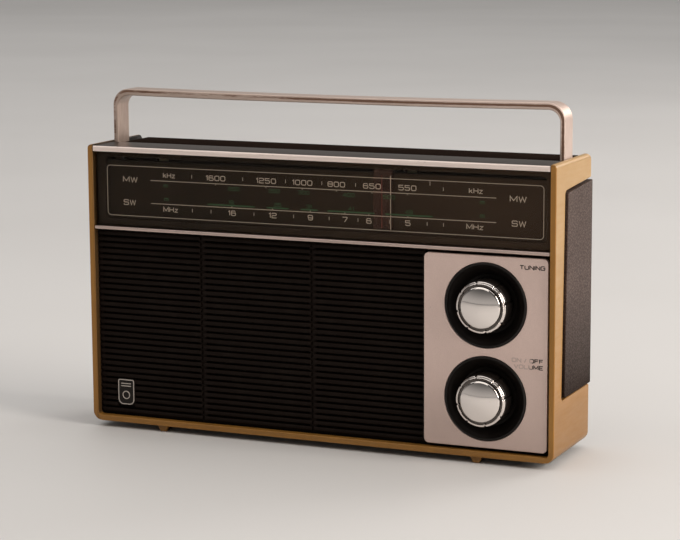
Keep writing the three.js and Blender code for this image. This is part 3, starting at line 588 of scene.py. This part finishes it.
def scratch_object(bm, name="scratch"):
    mesh = bpy.data.meshes.new(name)
    bm.to_mesh(mesh)
    bm.free()
    obj = bpy.data.objects.new(name, mesh)
    bpy.context.scene.collection.objects.link(obj)
    return obj


CUT, JOIN, KEEP = "DIFFERENCE", "UNION", "INTERSECT"


def carve(bm, steps):
    """Applies a list of (operation, bmesh) booleans and returns the resulting mesh object."""
    obj = scratch_object(bm)
    tools = []
    for operation, other in steps:
        tool = scratch_object(other)
        tools.append(tool)
        modifier = obj.modifiers.new("cut", "BOOLEAN")
        modifier.operation = operation
        modifier.solver = "EXACT"
        modifier.object = tool
    depsgraph = bpy.context.evaluated_depsgraph_get()
    mesh = bpy.data.meshes.new_from_object(obj.evaluated_get(depsgraph))
    obj.modifiers.clear()
    obj.data = mesh
    for tool in tools:
        bpy.data.objects.remove(tool)
    return obj


def piece(source, name, material, slot, cad=None, body="chassis", bevel=0.0, segments=3, angle=32):
    """Names, shades, paints and mounts a bmesh or a carved object. cad is the node that it stands for."""
    obj = source if isinstance(source, bpy.types.Object) else scratch_object(source)
    obj.name = name
    obj.data.name = name
    bm = bmesh.new()
    bm.from_mesh(obj.data)
    bmesh.ops.remove_doubles(bm, verts=bm.verts, dist=1e-6)
    bmesh.ops.dissolve_limit(bm, angle_limit=math.radians(0.4), verts=bm.verts, edges=bm.edges)
    for face in bm.faces:
        face.smooth = True
    for edge in bm.edges:
        edge.smooth = edge.calc_face_angle(0) < math.radians(angle)
    bm.to_mesh(obj.data)
    bm.free()
    if bevel:
        modifier = obj.modifiers.new("bevel", "BEVEL")
        modifier.width = bevel * MM
        modifier.segments = segments
        modifier.limit_method = "ANGLE"
        modifier.angle_limit = math.radians(angle)
        modifier.use_clamp_overlap = False
        modifier.harden_normals = True
    obj.data.materials.clear()
    obj.data.materials.append(MAT[material])
    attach(obj, body)
    if cad:
        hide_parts(cad)


def mirrored(build):
    """Calls build(span) for the left and the right side, where span orders two x values for that side."""
    for side in (-1, 1):
        yield build(lambda a, b, side=side: tuple(sorted((a * side, b * side))))


# ------------------------------------------------------------------ cabinet and covers

NOTCH_FRONT, NOTCH_LEAN, NOTCH_BOTTOM, NOTCH_TOP, NOTCH_SLOPE = 10.2, 2.8, 26.3, 118.8, 2.0 / 39.3


def notch(gap, rear, front_radius, rear_radius):
    """The side view of a cut-away, less a gap all round."""
    front = NOTCH_FRONT + gap
    low, high = NOTCH_BOTTOM + gap, NOTCH_TOP - gap
    return [
        (front, low, front_radius),
        (rear, low, rear_radius),
        (rear, high + NOTCH_SLOPE * (rear - front), rear_radius),
        (front + NOTCH_LEAN, high, front_radius),
    ]


def build_cabinet():
    top = HEIGHT + 0.6
    sleeve = prism(
        [
            (-HALF, top, 1.9), (-HALF, 0, 4.3), (HALF, 0, 4.3), (HALF, top, 1.9),
            (INNER, top, 0.5), (INNER, WALL, 1.7), (-INNER, WALL, 1.7), (-INNER, top, 0.5),
        ],
        "y", 0, DEPTH,
    )
    side = [(0, 0, 0.01), (DEPTH, 0, 2.2), (DEPTH, top, 3.6), (0, top, 0.6)]
    steps = [(KEEP, prism(side, "x", -HALF - 5, HALF + 5))]
    for span in mirrored(lambda s: s(INNER - 0.1, HALF + 2)):
        steps.append((CUT, prism(notch(0, DEPTH + 9, 2.0, 0), "x", *span)))
    for x in (-78.4, 78.4):
        for y in (1.2, 43.0):
            peg = [(x - 2.9, 1.2), (x - 2.8, -0.2, 0.3), (x - 1.4, -FOOT, 0.5), (x + 1.4, -FOOT, 0.5),
                   (x + 2.8, -0.2, 0.3), (x + 2.9, 1.2)]
            steps.append((JOIN, prism(peg, "y", y, y + 5.2)))
    steps.append((JOIN, box((-INNER - 1, INNER + 1), (4, 19.7), (127.2, 129.7))))
    piece(carve(sleeve, steps), "cabinet_shell", "tan", "tan_plastic", "cabinet", bevel=0.45)


def build_top():
    lip = [(0, HEIGHT - 2.5, 0.3), (1.0, HEIGHT - 2.5, 0.3), (1.0, HEIGHT - 1.0, 0.2), (20, HEIGHT - 1.0),
           (20, HEIGHT, 0.25), (0, HEIGHT, 0.8)]
    bar = [(0.4, 91.8, 0.5), (6, 91.8), (6, 93.4), (0.4, 93.4, 0.5)]
    for outline, name, material, cad in (
        (lip, "top_plate_sheet", "top", "top_plate"),
        (bar, "divider_bar", "trim", "divider_strip"),
    ):
        solid = prism(outline, "x", -FACE, FACE)
        piece(solid, name, material, "brushed_aluminium", cad, bevel=0.12, angle=60)


DOOR_X, DOOR_Z = (-102.6, 102.6), (4.9, 30.1)
DECK_HALF = 109.1  # half width of the deck between the slots for the handle
SCREWS = [(-107.5, 96), (107.5, 96), (-107.5, 36), (107.5, 36)]


def build_rear_cover():
    inside = BACK - 1.8
    through = (inside - 1, BACK + 1)
    deck = [(20.4, 130.4, 0.4), (20.4, 128.6), (inside, 128.6), (inside, 2.9), (BACK, 2.9, 0.8),
            (BACK, 130.4, 3.0)]
    steps = []

    def side_parts(span):
        return [
            prism([(inside, 2.9), (BACK, 2.9, 0.8), (BACK, 116), (inside, 116)], "x", *span(105, FACE)),
            box(span(104.6, FACE), (20.4, BACK), (114.5, 116)),
            box(span(104.6, 106), (20.4, BACK - 2.2), (114.5, 129.9)),
            prism(notch(1.0, BACK - 0.5, 1.6, 1.0), "x", *span(INNER + 0.3, HALF + 1)),
            box(span(FACE - 2, HALF), (inside, BACK - 0.5), (29.5, 116)),
        ]

    for parts in mirrored(side_parts):
        steps += [(JOIN, part) for part in parts]
    outline = [(-HALF - 1, 10), (HALF + 1, 10), (HALF + 1, BACK, 3.4), (-HALF - 1, BACK, 3.4)]
    steps.append((KEEP, prism(outline, "z", 0, HEIGHT)))
    for i in range(14):
        x = -29 + (i - 6.5) * 5
        steps.append((CUT, box((x - 0.9, x + 0.9), through, (40, 78), 0.85)))
    opening = [(low - 0.4, high + 0.4) for low, high in (DOOR_X, DOOR_Z)]
    steps.append((CUT, box(opening[0], through, opening[1], 1.6)))
    steps.append((CUT, box((46.5, 59.5), (49, BACK + 1), (87.4, 92.6), 1.0)))
    steps.append((CUT, rod((82, 90), 4.4, 49, BACK + 1)))
    sink = [(0, 50.1), (3.4, 50.1), (3.6, BACK + 1), (0, BACK + 1)]
    for place in SCREWS:
        steps += [(CUT, lathe(sink, place, 40)), (CUT, rod(place, 1.9, 49, 52, 24))]
    shell = carve(prism(deck, "x", -DECK_HALF, DECK_HALF), steps)
    piece(shell, "rear_cover_shell", "cover", "cover_plastic", "rear_cover", bevel=0.35)

    cuts = [(CUT, rod((0, DOOR_Z[1] + 2), 9, BACK - 1, BACK + 1, 64))]
    for i in range(5):
        z = DOOR_Z[1] - 10.5 - i * 1.8
        cuts.append((CUT, box((-9 + i, 9 - i), (BACK - 0.5, BACK + 1), (z - 0.4, z + 0.4), 0.39)))
    door = carve(box(DOOR_X, (inside, BACK), DOOR_Z, 1.5), cuts)
    piece(door, "battery_door_panel", "cover", "cover_plastic", "battery_door", "battery_door", bevel=0.3)


def build_screws():
    profile = [(0, 36), (1.5, 36), (1.5, 50.4), (3.1, 50.4), (3.0, 50.75), (2.3, 51.0), (1.2, 51.12)]
    profile.append((0, 51.15))
    for i, (x, z) in enumerate(SCREWS):
        slit = box((x - 4, x + 4), (50.45, 52), (z - 0.45, z + 0.45))
        turned = carve(lathe(profile, (x, z), 40), [(CUT, slit)])
        piece(turned, f"cover_screw_{i + 1}_turned", "steel", "plated_steel", f"cover_screw_{i + 1}")


# ------------------------------------------------------------------ front

GRILLE_EDGES = (-FACE, -57.85, -1.85, 53.3)
RIB_PITCH, RIB_ROWS = 2.83, 30
GRILLE_BOTTOM, GRILLE_TOP = 2.9, 91.5
GRILLE_FRONT, GRILLE_BACK = 3.4, 6.8
RIB_HALF = 1.0  # half height of a rib
BAY_GAP = 0.55  # half of the gap between two bays
BADGE_X, BADGE_Z = (-103.05, -94.55), (7.9, 20.0)


def build_grille():
    """Round-edged ribs in three bays, carried by rails that stand behind them."""
    bm = bmesh.new()
    left, right = GRILLE_EDGES[0], GRILLE_EDGES[-1]
    rear = GRILLE_BACK - 0.7
    niche = (BADGE_X[0] - 0.3, BADGE_X[1] + 0.3)
    first = (GRILLE_BOTTOM + GRILLE_TOP) / 2 - (RIB_ROWS - 1) * RIB_PITCH / 2 - RIB_PITCH / 2
    for row in range(RIB_ROWS + 1):
        z = first + row * RIB_PITCH
        low = max(z - RIB_HALF, GRILLE_BOTTOM)
        high = min(z + RIB_HALF, GRILLE_TOP)
        rib = [(GRILLE_FRONT, low, 0.75), (rear, low), (rear, high), (GRILLE_FRONT, high, 0.75)]
        beside_badge = low < BADGE_Z[1] + 0.4 and high > BADGE_Z[0] - 0.4
        for x0, x1 in zip(GRILLE_EDGES, GRILLE_EDGES[1:]):
            x0 += BAY_GAP if x0 != left else 0
            x1 -= BAY_GAP if x1 != right else 0
            split = beside_badge and x0 == left
            for span in ((x0, niche[0]), (niche[1], x1)) if split else ((x0, x1),):
                prism(rib, "x", *span, bm)
    for x in GRILLE_EDGES:
        rail = (x if x == left else x - 1.6, x if x == right else x + 1.6)
        box(rail, (GRILLE_FRONT + 1.0, GRILLE_BACK), (GRILLE_BOTTOM, GRILLE_TOP), bm=bm)
    for z0, z1 in ((GRILLE_BOTTOM, GRILLE_BOTTOM + 1.2), (GRILLE_TOP - 1.2, GRILLE_TOP)):
        box((left, right), (GRILLE_FRONT + 1.4, GRILLE_BACK), (z0, z1), bm=bm)
    box(niche, (GRILLE_FRONT + 0.7, GRILLE_BACK), (BADGE_Z[0] - 0.3, BADGE_Z[1] + 0.3), bm=bm)
    piece(bm, "grille_ribs", "grille", "grille_plastic", "grille", angle=40)


def build_badge():
    """A small enamelled tile with a raised border, a ring and two bars."""
    (x0, x1), (z0, z1) = BADGE_X, BADGE_Z
    front = GRILLE_FRONT - 0.2
    raised = (front, front + 0.4)
    edge = 0.45
    tile = prism(rectangle(BADGE_X, BADGE_Z, 2.6, 0.9), "y", front, front + 0.7)
    field = rectangle((x0 + edge, x1 - edge), (z0 + edge, z1 - edge), 2.2, 0.6)
    ring = [(1.55, front), (2.0, front), (2.0, raised[1]), (1.55, raised[1]), (1.55, front)]
    steps = [(CUT, prism(field, "y", front - 0.5, front + 0.25))]
    steps.append((JOIN, lathe(ring, ((x0 + x1) / 2, z0 + 4.6), 48)))
    for z in (z1 - 3.2, z1 - 2.0):
        steps.append((JOIN, box((x0 + 1.6, x1 - 1.6), raised, (z - 0.22, z + 0.22), 0.2)))
    piece(carve(tile, steps), "badge_tile", "badge", "brushed_aluminium", "badge", bevel=0.06, segments=2)


WELL_RADIUS = 19.0


def build_panel():
    plate = box((53.6, 111.3), (1.4, 3.4), (4.1, 90.3), 2.2)
    holes = [(CUT, rod((KNOB_X, z), WELL_RADIUS + 0.15, 0, 5, 128)) for z in KNOB_Z.values()]
    piece(carve(plate, holes), "knob_panel_plate", "panel", "panel_paint", "knob_panel", bevel=0.3)


def build_wells():
    profile = [(5.0, 7.4), (5.0, 6.0), (13.0, 6.0), (13.35, 5.85), (13.55, 5.5)]
    profile += [(13.55 + 4.1 * t, 5.5 - 3.9 * (1 - (1 - t) ** 1.35)) for t in (0.2, 0.4, 0.6, 0.8, 1.0)]
    profile += [(17.85, 1.3), (18.1, 1.12), (18.45, 1.1), (18.8, 1.25), (18.95, 1.5)]
    profile += [(WELL_RADIUS, 2.0), (WELL_RADIUS, 7.4), profile[0]]
    for name, z in KNOB_Z.items():
        dish = lathe(profile, (KNOB_X, z), 128)
        piece(dish, f"{name}_dish", "black", "black_plastic", f"{name}_well", angle=50)


def fluted(radius, angle):
    """Pushes a point of a knob's edge in where one of its eight flutes is."""
    outer, depth, half_width, first = 11.7, 0.6, 0.05, 0.25
    if radius < outer - 1.2:
        return radius
    turn = angle / (math.pi / 4) - first
    off = abs(turn - round(turn)) * (math.pi / 4)
    if off > half_width:
        return radius
    return radius - depth * math.cos(off / half_width * math.pi / 2)


def build_knobs():
    grip = [(0, -3.2), (10.9, -3.2), (11.4, -3.05), (11.7, -2.6), (11.7, 4.8), (11.5, 5.2), (3.3, 5.2),
            (3.3, -1.8), (0, -1.8)]
    tip, rim = -7.2, -5.45
    cap = [(0.0, tip)]
    cap += [(9.05 * t, tip + (rim - tip) * t * t) for t in (0.12, 0.25, 0.4, 0.55, 0.7, 0.82, 0.92, 1.0)]
    cap += [(9.2, -5.2), (9.25, -4.9), (9.3, -4.2), (10.3, -4.2), (10.38, -4.85), (10.5, -4.98)]
    cap += [(10.65, -4.9), (10.75, -4.55), (11.25, -4.45), (11.42, -4.3), (11.5, -4.1), (11.5, -3.55)]
    cap += [(11.4, -3.5), (0.0, -3.5)]
    for name, z in KNOB_Z.items():
        for profile, part, material, slot, node, angle in (
            (grip, "grip", "black", "black_plastic", "knob", 40),
            (cap, "cap_plated", "chrome", "chrome_cap", "knob_cap", 50),
        ):
            turned = lathe(profile, (KNOB_X, z), 256, fluted)
            piece(turned, f"{name}_{part}", material, slot, f"{name}_{node}", name, angle=angle)


# ------------------------------------------------------------------ lettering

# Each glyph is its width and its strokes, on a cap height of 1. A stroke lists x,y or x,y,radius corners,
# and is closed where it starts with "loop".
GLYPHS = {
    "0": (0.95, "loop 0,0,.26 .95,0,.26 .95,1,.26 0,1,.26"),
    "1": (0.3, "0,.8 .3,1 .3,0"),
    "2": (0.95, "0,.78 0,1,.2 .95,1,.22 .95,.54,.2 0,.46,.2 0,0 .97,0"),
    "3": (0.95, "0,.8 0,1,.2 .95,1,.22 .95,.52,.15 .3,.52", ".3,.52 .95,.52,.15 .95,0,.22 0,0,.2 0,.2"),
    "4": (1.0, ".75,0 .75,1 0,.3 1,.3"),
    "5": (0.95, ".92,1 0,1 0,.58 .95,.58,.22 .95,0,.25 0,0,.2 0,.2"),
    "6": (0.95, ".9,.82 .9,1,.2 0,1,.25 0,0,.25 .95,0,.25 .95,.56,.22 .08,.56"),
    "7": (0.95, "0,1 .95,1 .95,.8 .4,0"),
    "8": (0.95, "loop 0,0,.24 .95,0,.24 .95,1,.24 0,1,.24", ".08,.52 .87,.52"),
    "9": (0.95, ".05,.18 .05,0,.2 .95,0,.25 .95,1,.25 0,1,.25 0,.44,.22 .87,.44"),
    "M": (1.25, "0,0 0,1 .625,.2 1.25,1 1.25,0"),
    "W": (1.35, "0,1 .32,0 .675,.9 1.03,0 1.35,1"),
    "S": (1.1, "1.08,.78 1.08,1,.2 0,1,.24 0,.52,.2 1.1,.52,.2 1.1,0,.24 0,0,.2 0,.22"),
    "k": (0.78, "0,0 0,1", ".72,.68 .05,.33", ".3,.44 .78,0"),
    "H": (1.05, "0,0 0,1", "1.05,0 1.05,1", ".08,.5 .97,.5"),
    "z": (0.78, "0,.68 .75,.68 0,0 .78,0"),
    "m": (0.98, "0,0 0,.68,.12 .98,.68,.15 .98,0", ".49,.6 .49,0"),
    "T": (1.1, "0,1 1.1,1", ".55,.92 .55,0"),
    "U": (1.1, "0,1 0,0,.26 1.1,0,.26 1.1,1"),
    "N": (1.1, "0,0 0,1 1.1,0 1.1,1"),
    "I": (0.0, "0,0 0,1"),
    "G": (1.1, "1.1,.8 1.1,1,.22 0,1,.26 0,0,.26 1.1,0,.2 1.1,.5 .62,.5"),
    "O": (1.15, "loop 0,0,.28 1.15,0,.28 1.15,1,.28 0,1,.28"),
    "F": (1.0, "1,1 0,1 0,0", ".08,.52 .85,.52"),
    "V": (1.15, "0,1 .575,0 1.15,1"),
    "L": (1.0, "0,1 0,0 1,0"),
    "E": (1.05, "1.05,1 0,1 0,0 1.05,0", ".08,.52 .9,.52"),
    "/": (0.5, "0,-.05 .5,1.05"),
    " ": (0.35,),
}
GLYPH_GAP, GLYPH_ARC_STEP = 0.36, math.radians(22)


def ribbon(bm, points, half, depth, closed=False):
    """A flat band of even width along points in x and z, as a thin solid between two depths."""
    count = len(points)
    pts = [Vector(p) for p in points]
    sides = []
    for i, here in enumerate(pts):
        before = pts[i - 1] if i or closed else None
        after = pts[(i + 1) % count] if i < count - 1 or closed else None
        a = (here - before).normalized() if before is not None else None
        b = (after - here).normalized() if after is not None else None
        a, b = a or b, b or a
        normal = Vector((-(a + b).y, (a + b).x)).normalized()
        reach = half / max(0.45, normal.dot(Vector((-a.y, a.x))))
        sides.append((here + normal * reach, here - normal * reach))
    rings = [[bm.verts.new(P(p.x, y, p.y)) for p in pair for y in depth] for pair in sides]
    faces = []
    for i in range(count if closed else count - 1):
        r, s = rings[i], rings[(i + 1) % count]
        for u, v in ((0, 1), (1, 3), (3, 2), (2, 0)):
            faces.append(bm.faces.new((r[u], r[v], s[v], s[u])))
    if not closed:
        for ring in (rings[0], rings[-1]):
            faces.append(bm.faces.new((ring[0], ring[1], ring[3], ring[2])))
    bmesh.ops.recalc_face_normals(bm, faces=faces)


def write(bm, text, x, z, height, depth, anchor="middle", stroke=0.17, wide=1.0):
    """Draws a word centred on, or ending at, x with its middle at height z."""
    width = sum(GLYPHS[c][0] for c in text) + GLYPH_GAP * (len(text) - 1)
    left = x - width * height * wide / (2 if anchor == "middle" else 1)
    for char in text:
        advance, *strokes = GLYPHS[char]
        for line in strokes:
            loop = line.startswith("loop")
            corners = [tuple(map(float, c.split(","))) for c in line.removeprefix("loop").split()]
            points = fillet(corners, GLYPH_ARC_STEP, loop)
            placed = [(left + u * height * wide, z + (v - 0.5) * height) for u, v in points]
            ribbon(bm, placed, stroke * height / 2, depth, loop)
        left += (advance + GLYPH_GAP) * height * wide


# ------------------------------------------------------------------ dial

PRINT = (3.22, 3.28)  # the depth of the print on the back of the lens
DIAL_X, DIAL_Z = (-FACE, FACE), (93.7, 128.2)
POINTER_X = 36.6
MW_LINE, SW_LINE = 115.6, 104.85


def build_dial_print():
    white = bmesh.new()
    low, high = 98.5, 121.9
    ribbon(white, fillet(rectangle((-106.4, 108.4), (low, high), 1.7)), 0.14, PRINT, True)
    for z in (MW_LINE, SW_LINE):
        ribbon(white, [(-83.5, z), (86.6, z)], 0.15, PRINT)
    stations = (
        (118.1, MW_LINE - 0.4,
         {"1600": -49.8, "1250": -24.2, "1000": -6.1, "800": 10.7, "650": 28.0, "550": 45.0}),
        (102.4, SW_LINE + 0.4, {"16": -41.6, "12": -21.0, "9": -2.2, "7": 14.8, "6": 26.5, "5": 45.2}),
    )
    for z, tick, row in stations:
        for text, x in row.items():
            write(white, text, x, z, 2.1, PRINT, stroke=0.18, wide=1.09)
            ribbon(white, [(x, tick - 0.4), (x, tick + 0.4)], 0.12, PRINT)
    between = ((118.3, (-62.0, -35.9, -14.4, 3.6, 20.1, 62.0)),
               (102.5, (-61.9, -52.3, -30.4, -10.5, 7.1, 21.2, 36.4, 54.4, 62.1)))
    for z, places in between:
        for x in places:
            ribbon(white, [(x, z - 0.8), (x, z + 0.8)], 0.12, PRINT)
    ribbon(white, [(55.7, high - 2.3), (55.7, high)], 0.13, PRINT)
    names = (("MW", -94.2, MW_LINE, 2.3, 1.08), ("SW", -94.7, SW_LINE, 2.3, 0.95),
             ("MW", 96.7, MW_LINE, 2.3, 1.08), ("SW", 97.1, SW_LINE, 2.3, 0.97),
             ("kHz", -73.8, 118.3, 2.1, 0.85), ("kHz", 77.2, 118.3, 2.1, 0.88),
             ("MHz", -73.2, 102.4, 2.1, 0.92), ("MHz", 76.8, 102.4, 2.1, 0.95))
    for text, x, z, height, wide in names:
        write(white, text, x, z, height, PRINT, wide=wide)
    piece(white, "dial_print_white", "white", "white_paint")

    green = bmesh.new()
    for x, z in ((-75.7, 113.5), (-75.4, 107.3), (80.2, 113.5), (80.2, 107.5)):
        write(green, "m", x, z, 1.9, PRINT)
    metres = ((113.6, {"200": -40.5, "250": -20.1, "300": -5.4, "400": 16.7, "500": 36.2}),
              (107.4, {"19": -42.0, "25": -18.4, "31": -2.8, "41": 17.8, "49": 45.7}))
    for z, row in metres:
        for text, x in row.items():
            write(green, text, x, z, 1.5, PRINT)
    for x0, x1 in ((-54.0, -30.0), (-24.0, -12.9), (-7.0, 1.4), (6.3, 29.2), (34.5, 56.9)):
        ribbon(green, [(x0, 105.9), (x1, 105.9)], 0.32, PRINT)
    piece(green, "dial_print_green", "green", "dial_black")


def build_dial():
    low, high = DIAL_Z
    bm = bmesh.new()
    rings = []
    for y, inset in ((3.2, 0.0), (2.3, 0.0), (0.8, 2.2)):
        corners = rectangle((-FACE + inset, FACE - inset), (low + inset, high - inset))
        rings.append([bm.verts.new(P(x, y, z)) for x, z, _ in corners])
    faces = [bm.faces.new(rings[0]), bm.faces.new(rings[2])]
    for a, b in zip(rings, rings[1:]):
        faces += [bm.faces.new((a[k], a[(k + 1) % 4], b[(k + 1) % 4], b[k])) for k in range(4)]
    bmesh.ops.recalc_face_normals(bm, faces=faces)
    piece(bm, "dial_lens", "lens", "clear_lens", "dial_window", bevel=0.2, angle=20)

    plate = box((-FACE + 1, FACE - 1), (6.6, 7.6), (95, 124), 0.6)
    piece(plate, "dial_backing", "scale", "dial_black", "dial_plate", bevel=0.15)
    window = box((-FACE + 4.5, FACE - 2.6), (3, 7), (97.0, 125.9), 2.0)
    surround = carve(box(DIAL_X, (3.6, 6.2), DIAL_Z), [(CUT, window)])
    piece(surround, "dial_surround", "scale", "dial_black", bevel=0.2)

    x = POINTER_X
    strip = box((x - 8.6, x + 0.6), (4.6, 5.4), (98.8, 125.7), 0.5)
    piece(strip, "pointer_strip", "tint", "tinted_clear", "pointer_band", "pointer", bevel=0.12, segments=2)
    red_line = box((x - 4.6, x - 4.2), (4.45, 4.55), (99.4, 123.0), 0.15)
    piece(red_line, "pointer_red_line", "red", "tinted_clear", body="pointer")
    needle = box((x - 0.16, x + 0.16), (4.0, 4.3), (98.8, 123.0), 0.15)
    piece(needle, "pointer_needle", "white", "white_paint", "pointer_line", "pointer", 0.06, segments=2)


def build_panel_print():
    """Knob names on the panel, right-aligned above each well."""
    bm = bmesh.new()
    for text, x, z in (("TUNING", 109.7, 86.2), ("ON / OFF", 109.2, 45.0), ("VOLUME", 109.2, 42.2)):
        write(bm, text, x, z, 1.55, (1.34, 1.42), "right", 0.27)
    piece(bm, "panel_print", "dark", "black_plastic")


# ------------------------------------------------------------------ handle


def bail_edge(inset, top):
    """One edge of the strip in front view, from the lower right over the top to the lower left."""
    outer = FACE - inset
    bend = STRIP_BEND - inset
    run = outer - bend
    arc = [math.radians(a) for a in range(0, 91, 6)]
    steps = [1 - k / 12 for k in range(1, 24)]  # along the bar, from near 1 to near -1
    points = [(outer, STRIP_LOW)]
    points += [(run + bend * math.cos(a), top - bend + bend * math.sin(a)) for a in arc]
    points += [(run * t, top - STRIP_SAG * (1 - t * t)) for t in steps]
    points += [(-run - bend * math.sin(a), top - bend + bend * math.cos(a)) for a in arc]
    points.append((-outer, STRIP_LOW))
    return points


def build_handle():
    outer = bail_edge(0, STRIP_TOP + STRIP_SWELL)
    inner = bail_edge(STRIP_THICK, STRIP_TOP - STRIP_THICK - STRIP_SWELL)
    rear = STRIP_FRONT + STRIP_WIDTH
    strip = prism(outer + inner[::-1], "y", STRIP_FRONT, rear)
    side = [(STRIP_FRONT, STRIP_LOW, 5.4), (rear, STRIP_LOW, 5.4), (rear, 170), (STRIP_FRONT, 170)]
    bail = carve(strip, [(KEEP, prism(side, "x", -HALF - 5, HALF + 5))])
    piece(bail, "handle_strip", "handle", "handle_metal", "handle", "handle", 0.55, segments=4, angle=40)


# ------------------------------------------------------------------ pieces that keep their CAD shape

KEPT = {
    "baffle": ["front_frame"],
    "black": ["pointer_carriage", "battery_box", "band_switch_slider", "earphone_socket"],
    "steel": ["tuning_shaft", "volume_shaft", "volume_control", "pointer_rail", "if_can_1", "if_can_2",
              "if_can_3", "band_switch", "battery_contact", "battery_spring", "handle_pin_left",
              "handle_pin_right"],
    "basket": ["speaker_frame"],
    "nylon": ["cord_drum", "cord_pulley_right", "cord_pulley_left", "cord_pulley_middle", "rod_holder_left",
              "rod_holder_right", "tuning_capacitor"],
    "board": ["circuit_board"],
    "copper": ["output_transformer", "ferrite_coil"],
    "ferrite": ["ferrite_rod", "speaker_magnet"],
    "paper": ["speaker_cone"],
    "cell": ["electrolytic", "battery_1", "battery_2", "battery_3", "battery_4"],
    "cord": ["dial_cord"],
}


def paint_kept_nodes():
    for material, nodes in KEPT.items():
        for node in nodes:
            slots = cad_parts[node].data.materials
            slots.clear()
            slots.append(MAT[material])


# ------------------------------------------------------------------ studio


def build_studio():
    """A pale floor, a sky that darkens upwards, and four area lights."""
    s = Shader("studio_floor")
    s.set(Base_Color=s.mix(s.ramp(s.noise(400, 2), 0.3, 0.7), (0.60, 0.585, 0.57), (0.64, 0.625, 0.61)))
    s.set(Roughness=0.55, Normal=s.bump(s.noise(2, 2), 0.02, 0.1))
    bm = bmesh.new()
    reach = 6.0
    bm.faces.new([bm.verts.new((x, y, 0)) for x, y, _ in rectangle((-reach, reach), (-reach, reach))])
    floor = scratch_object(bm, "studio_floor")
    floor.data.materials.append(s.material)

    world = bpy.data.worlds.new("studio")
    world.use_nodes = True
    nodes, links = world.node_tree.nodes, world.node_tree.links
    split = nodes.new("ShaderNodeSeparateXYZ")
    links.new(nodes.new("ShaderNodeTexCoord").outputs["Generated"], split.inputs[0])
    height = nodes.new("ShaderNodeMapRange")
    height.interpolation_type = "SMOOTHSTEP"
    height.inputs["From Max"].default_value = 0.5
    links.new(split.outputs["Z"], height.inputs["Value"])
    sky = nodes.new("ShaderNodeMix")
    sky.data_type = "RGBA"
    sky.inputs["A"].default_value = (0.44, 0.42, 0.40, 1)
    sky.inputs["B"].default_value = (0.085, 0.082, 0.080, 1)
    links.new(height.outputs[0], sky.inputs["Factor"])
    links.new(sky.outputs["Result"], nodes["Background"].inputs["Color"])
    bpy.context.scene.world = world

    target = Vector((0, 0, 0.07))
    lights = (
        ("key", (1.5, -0.20, 0.75), (0.8, 0.9), 25, (1.0, 0.93, 0.86)),
        ("fill", (-0.4, -1.3, 1.7), (1.6, 1.2), 6, (1.0, 0.95, 0.90)),
        ("rim", (1.0, 1.5, 0.8), (1.0, 0.8), 12, (1.0, 0.95, 0.91)),
        ("ceiling", (-0.6, 1.6, 3.2), (6.5, 6.5), 140, (1.0, 0.985, 0.97)),
    )
    for name, at, size, power, colour in lights:
        data = bpy.data.lights.new(name, "AREA")
        data.shape = "RECTANGLE"
        data.size, data.size_y = size
        data.energy = power
        data.color = colour
        lamp = bpy.data.objects.new(name, data)
        lamp.location = at
        aim = Vector((0, 0, -1)) if name == "ceiling" else target - Vector(at)
        lamp.rotation_euler = aim.to_track_quat("-Z", "Y").to_euler()
        bpy.context.scene.collection.objects.link(lamp)
    bpy.context.scene.view_settings.view_transform = "Standard"


build_cabinet()
build_top()
build_rear_cover()
build_screws()
build_grille()
build_badge()
build_panel()
build_wells()
build_knobs()
build_dial()
build_dial_print()
build_panel_print()
build_handle()
paint_kept_nodes()
build_studio()
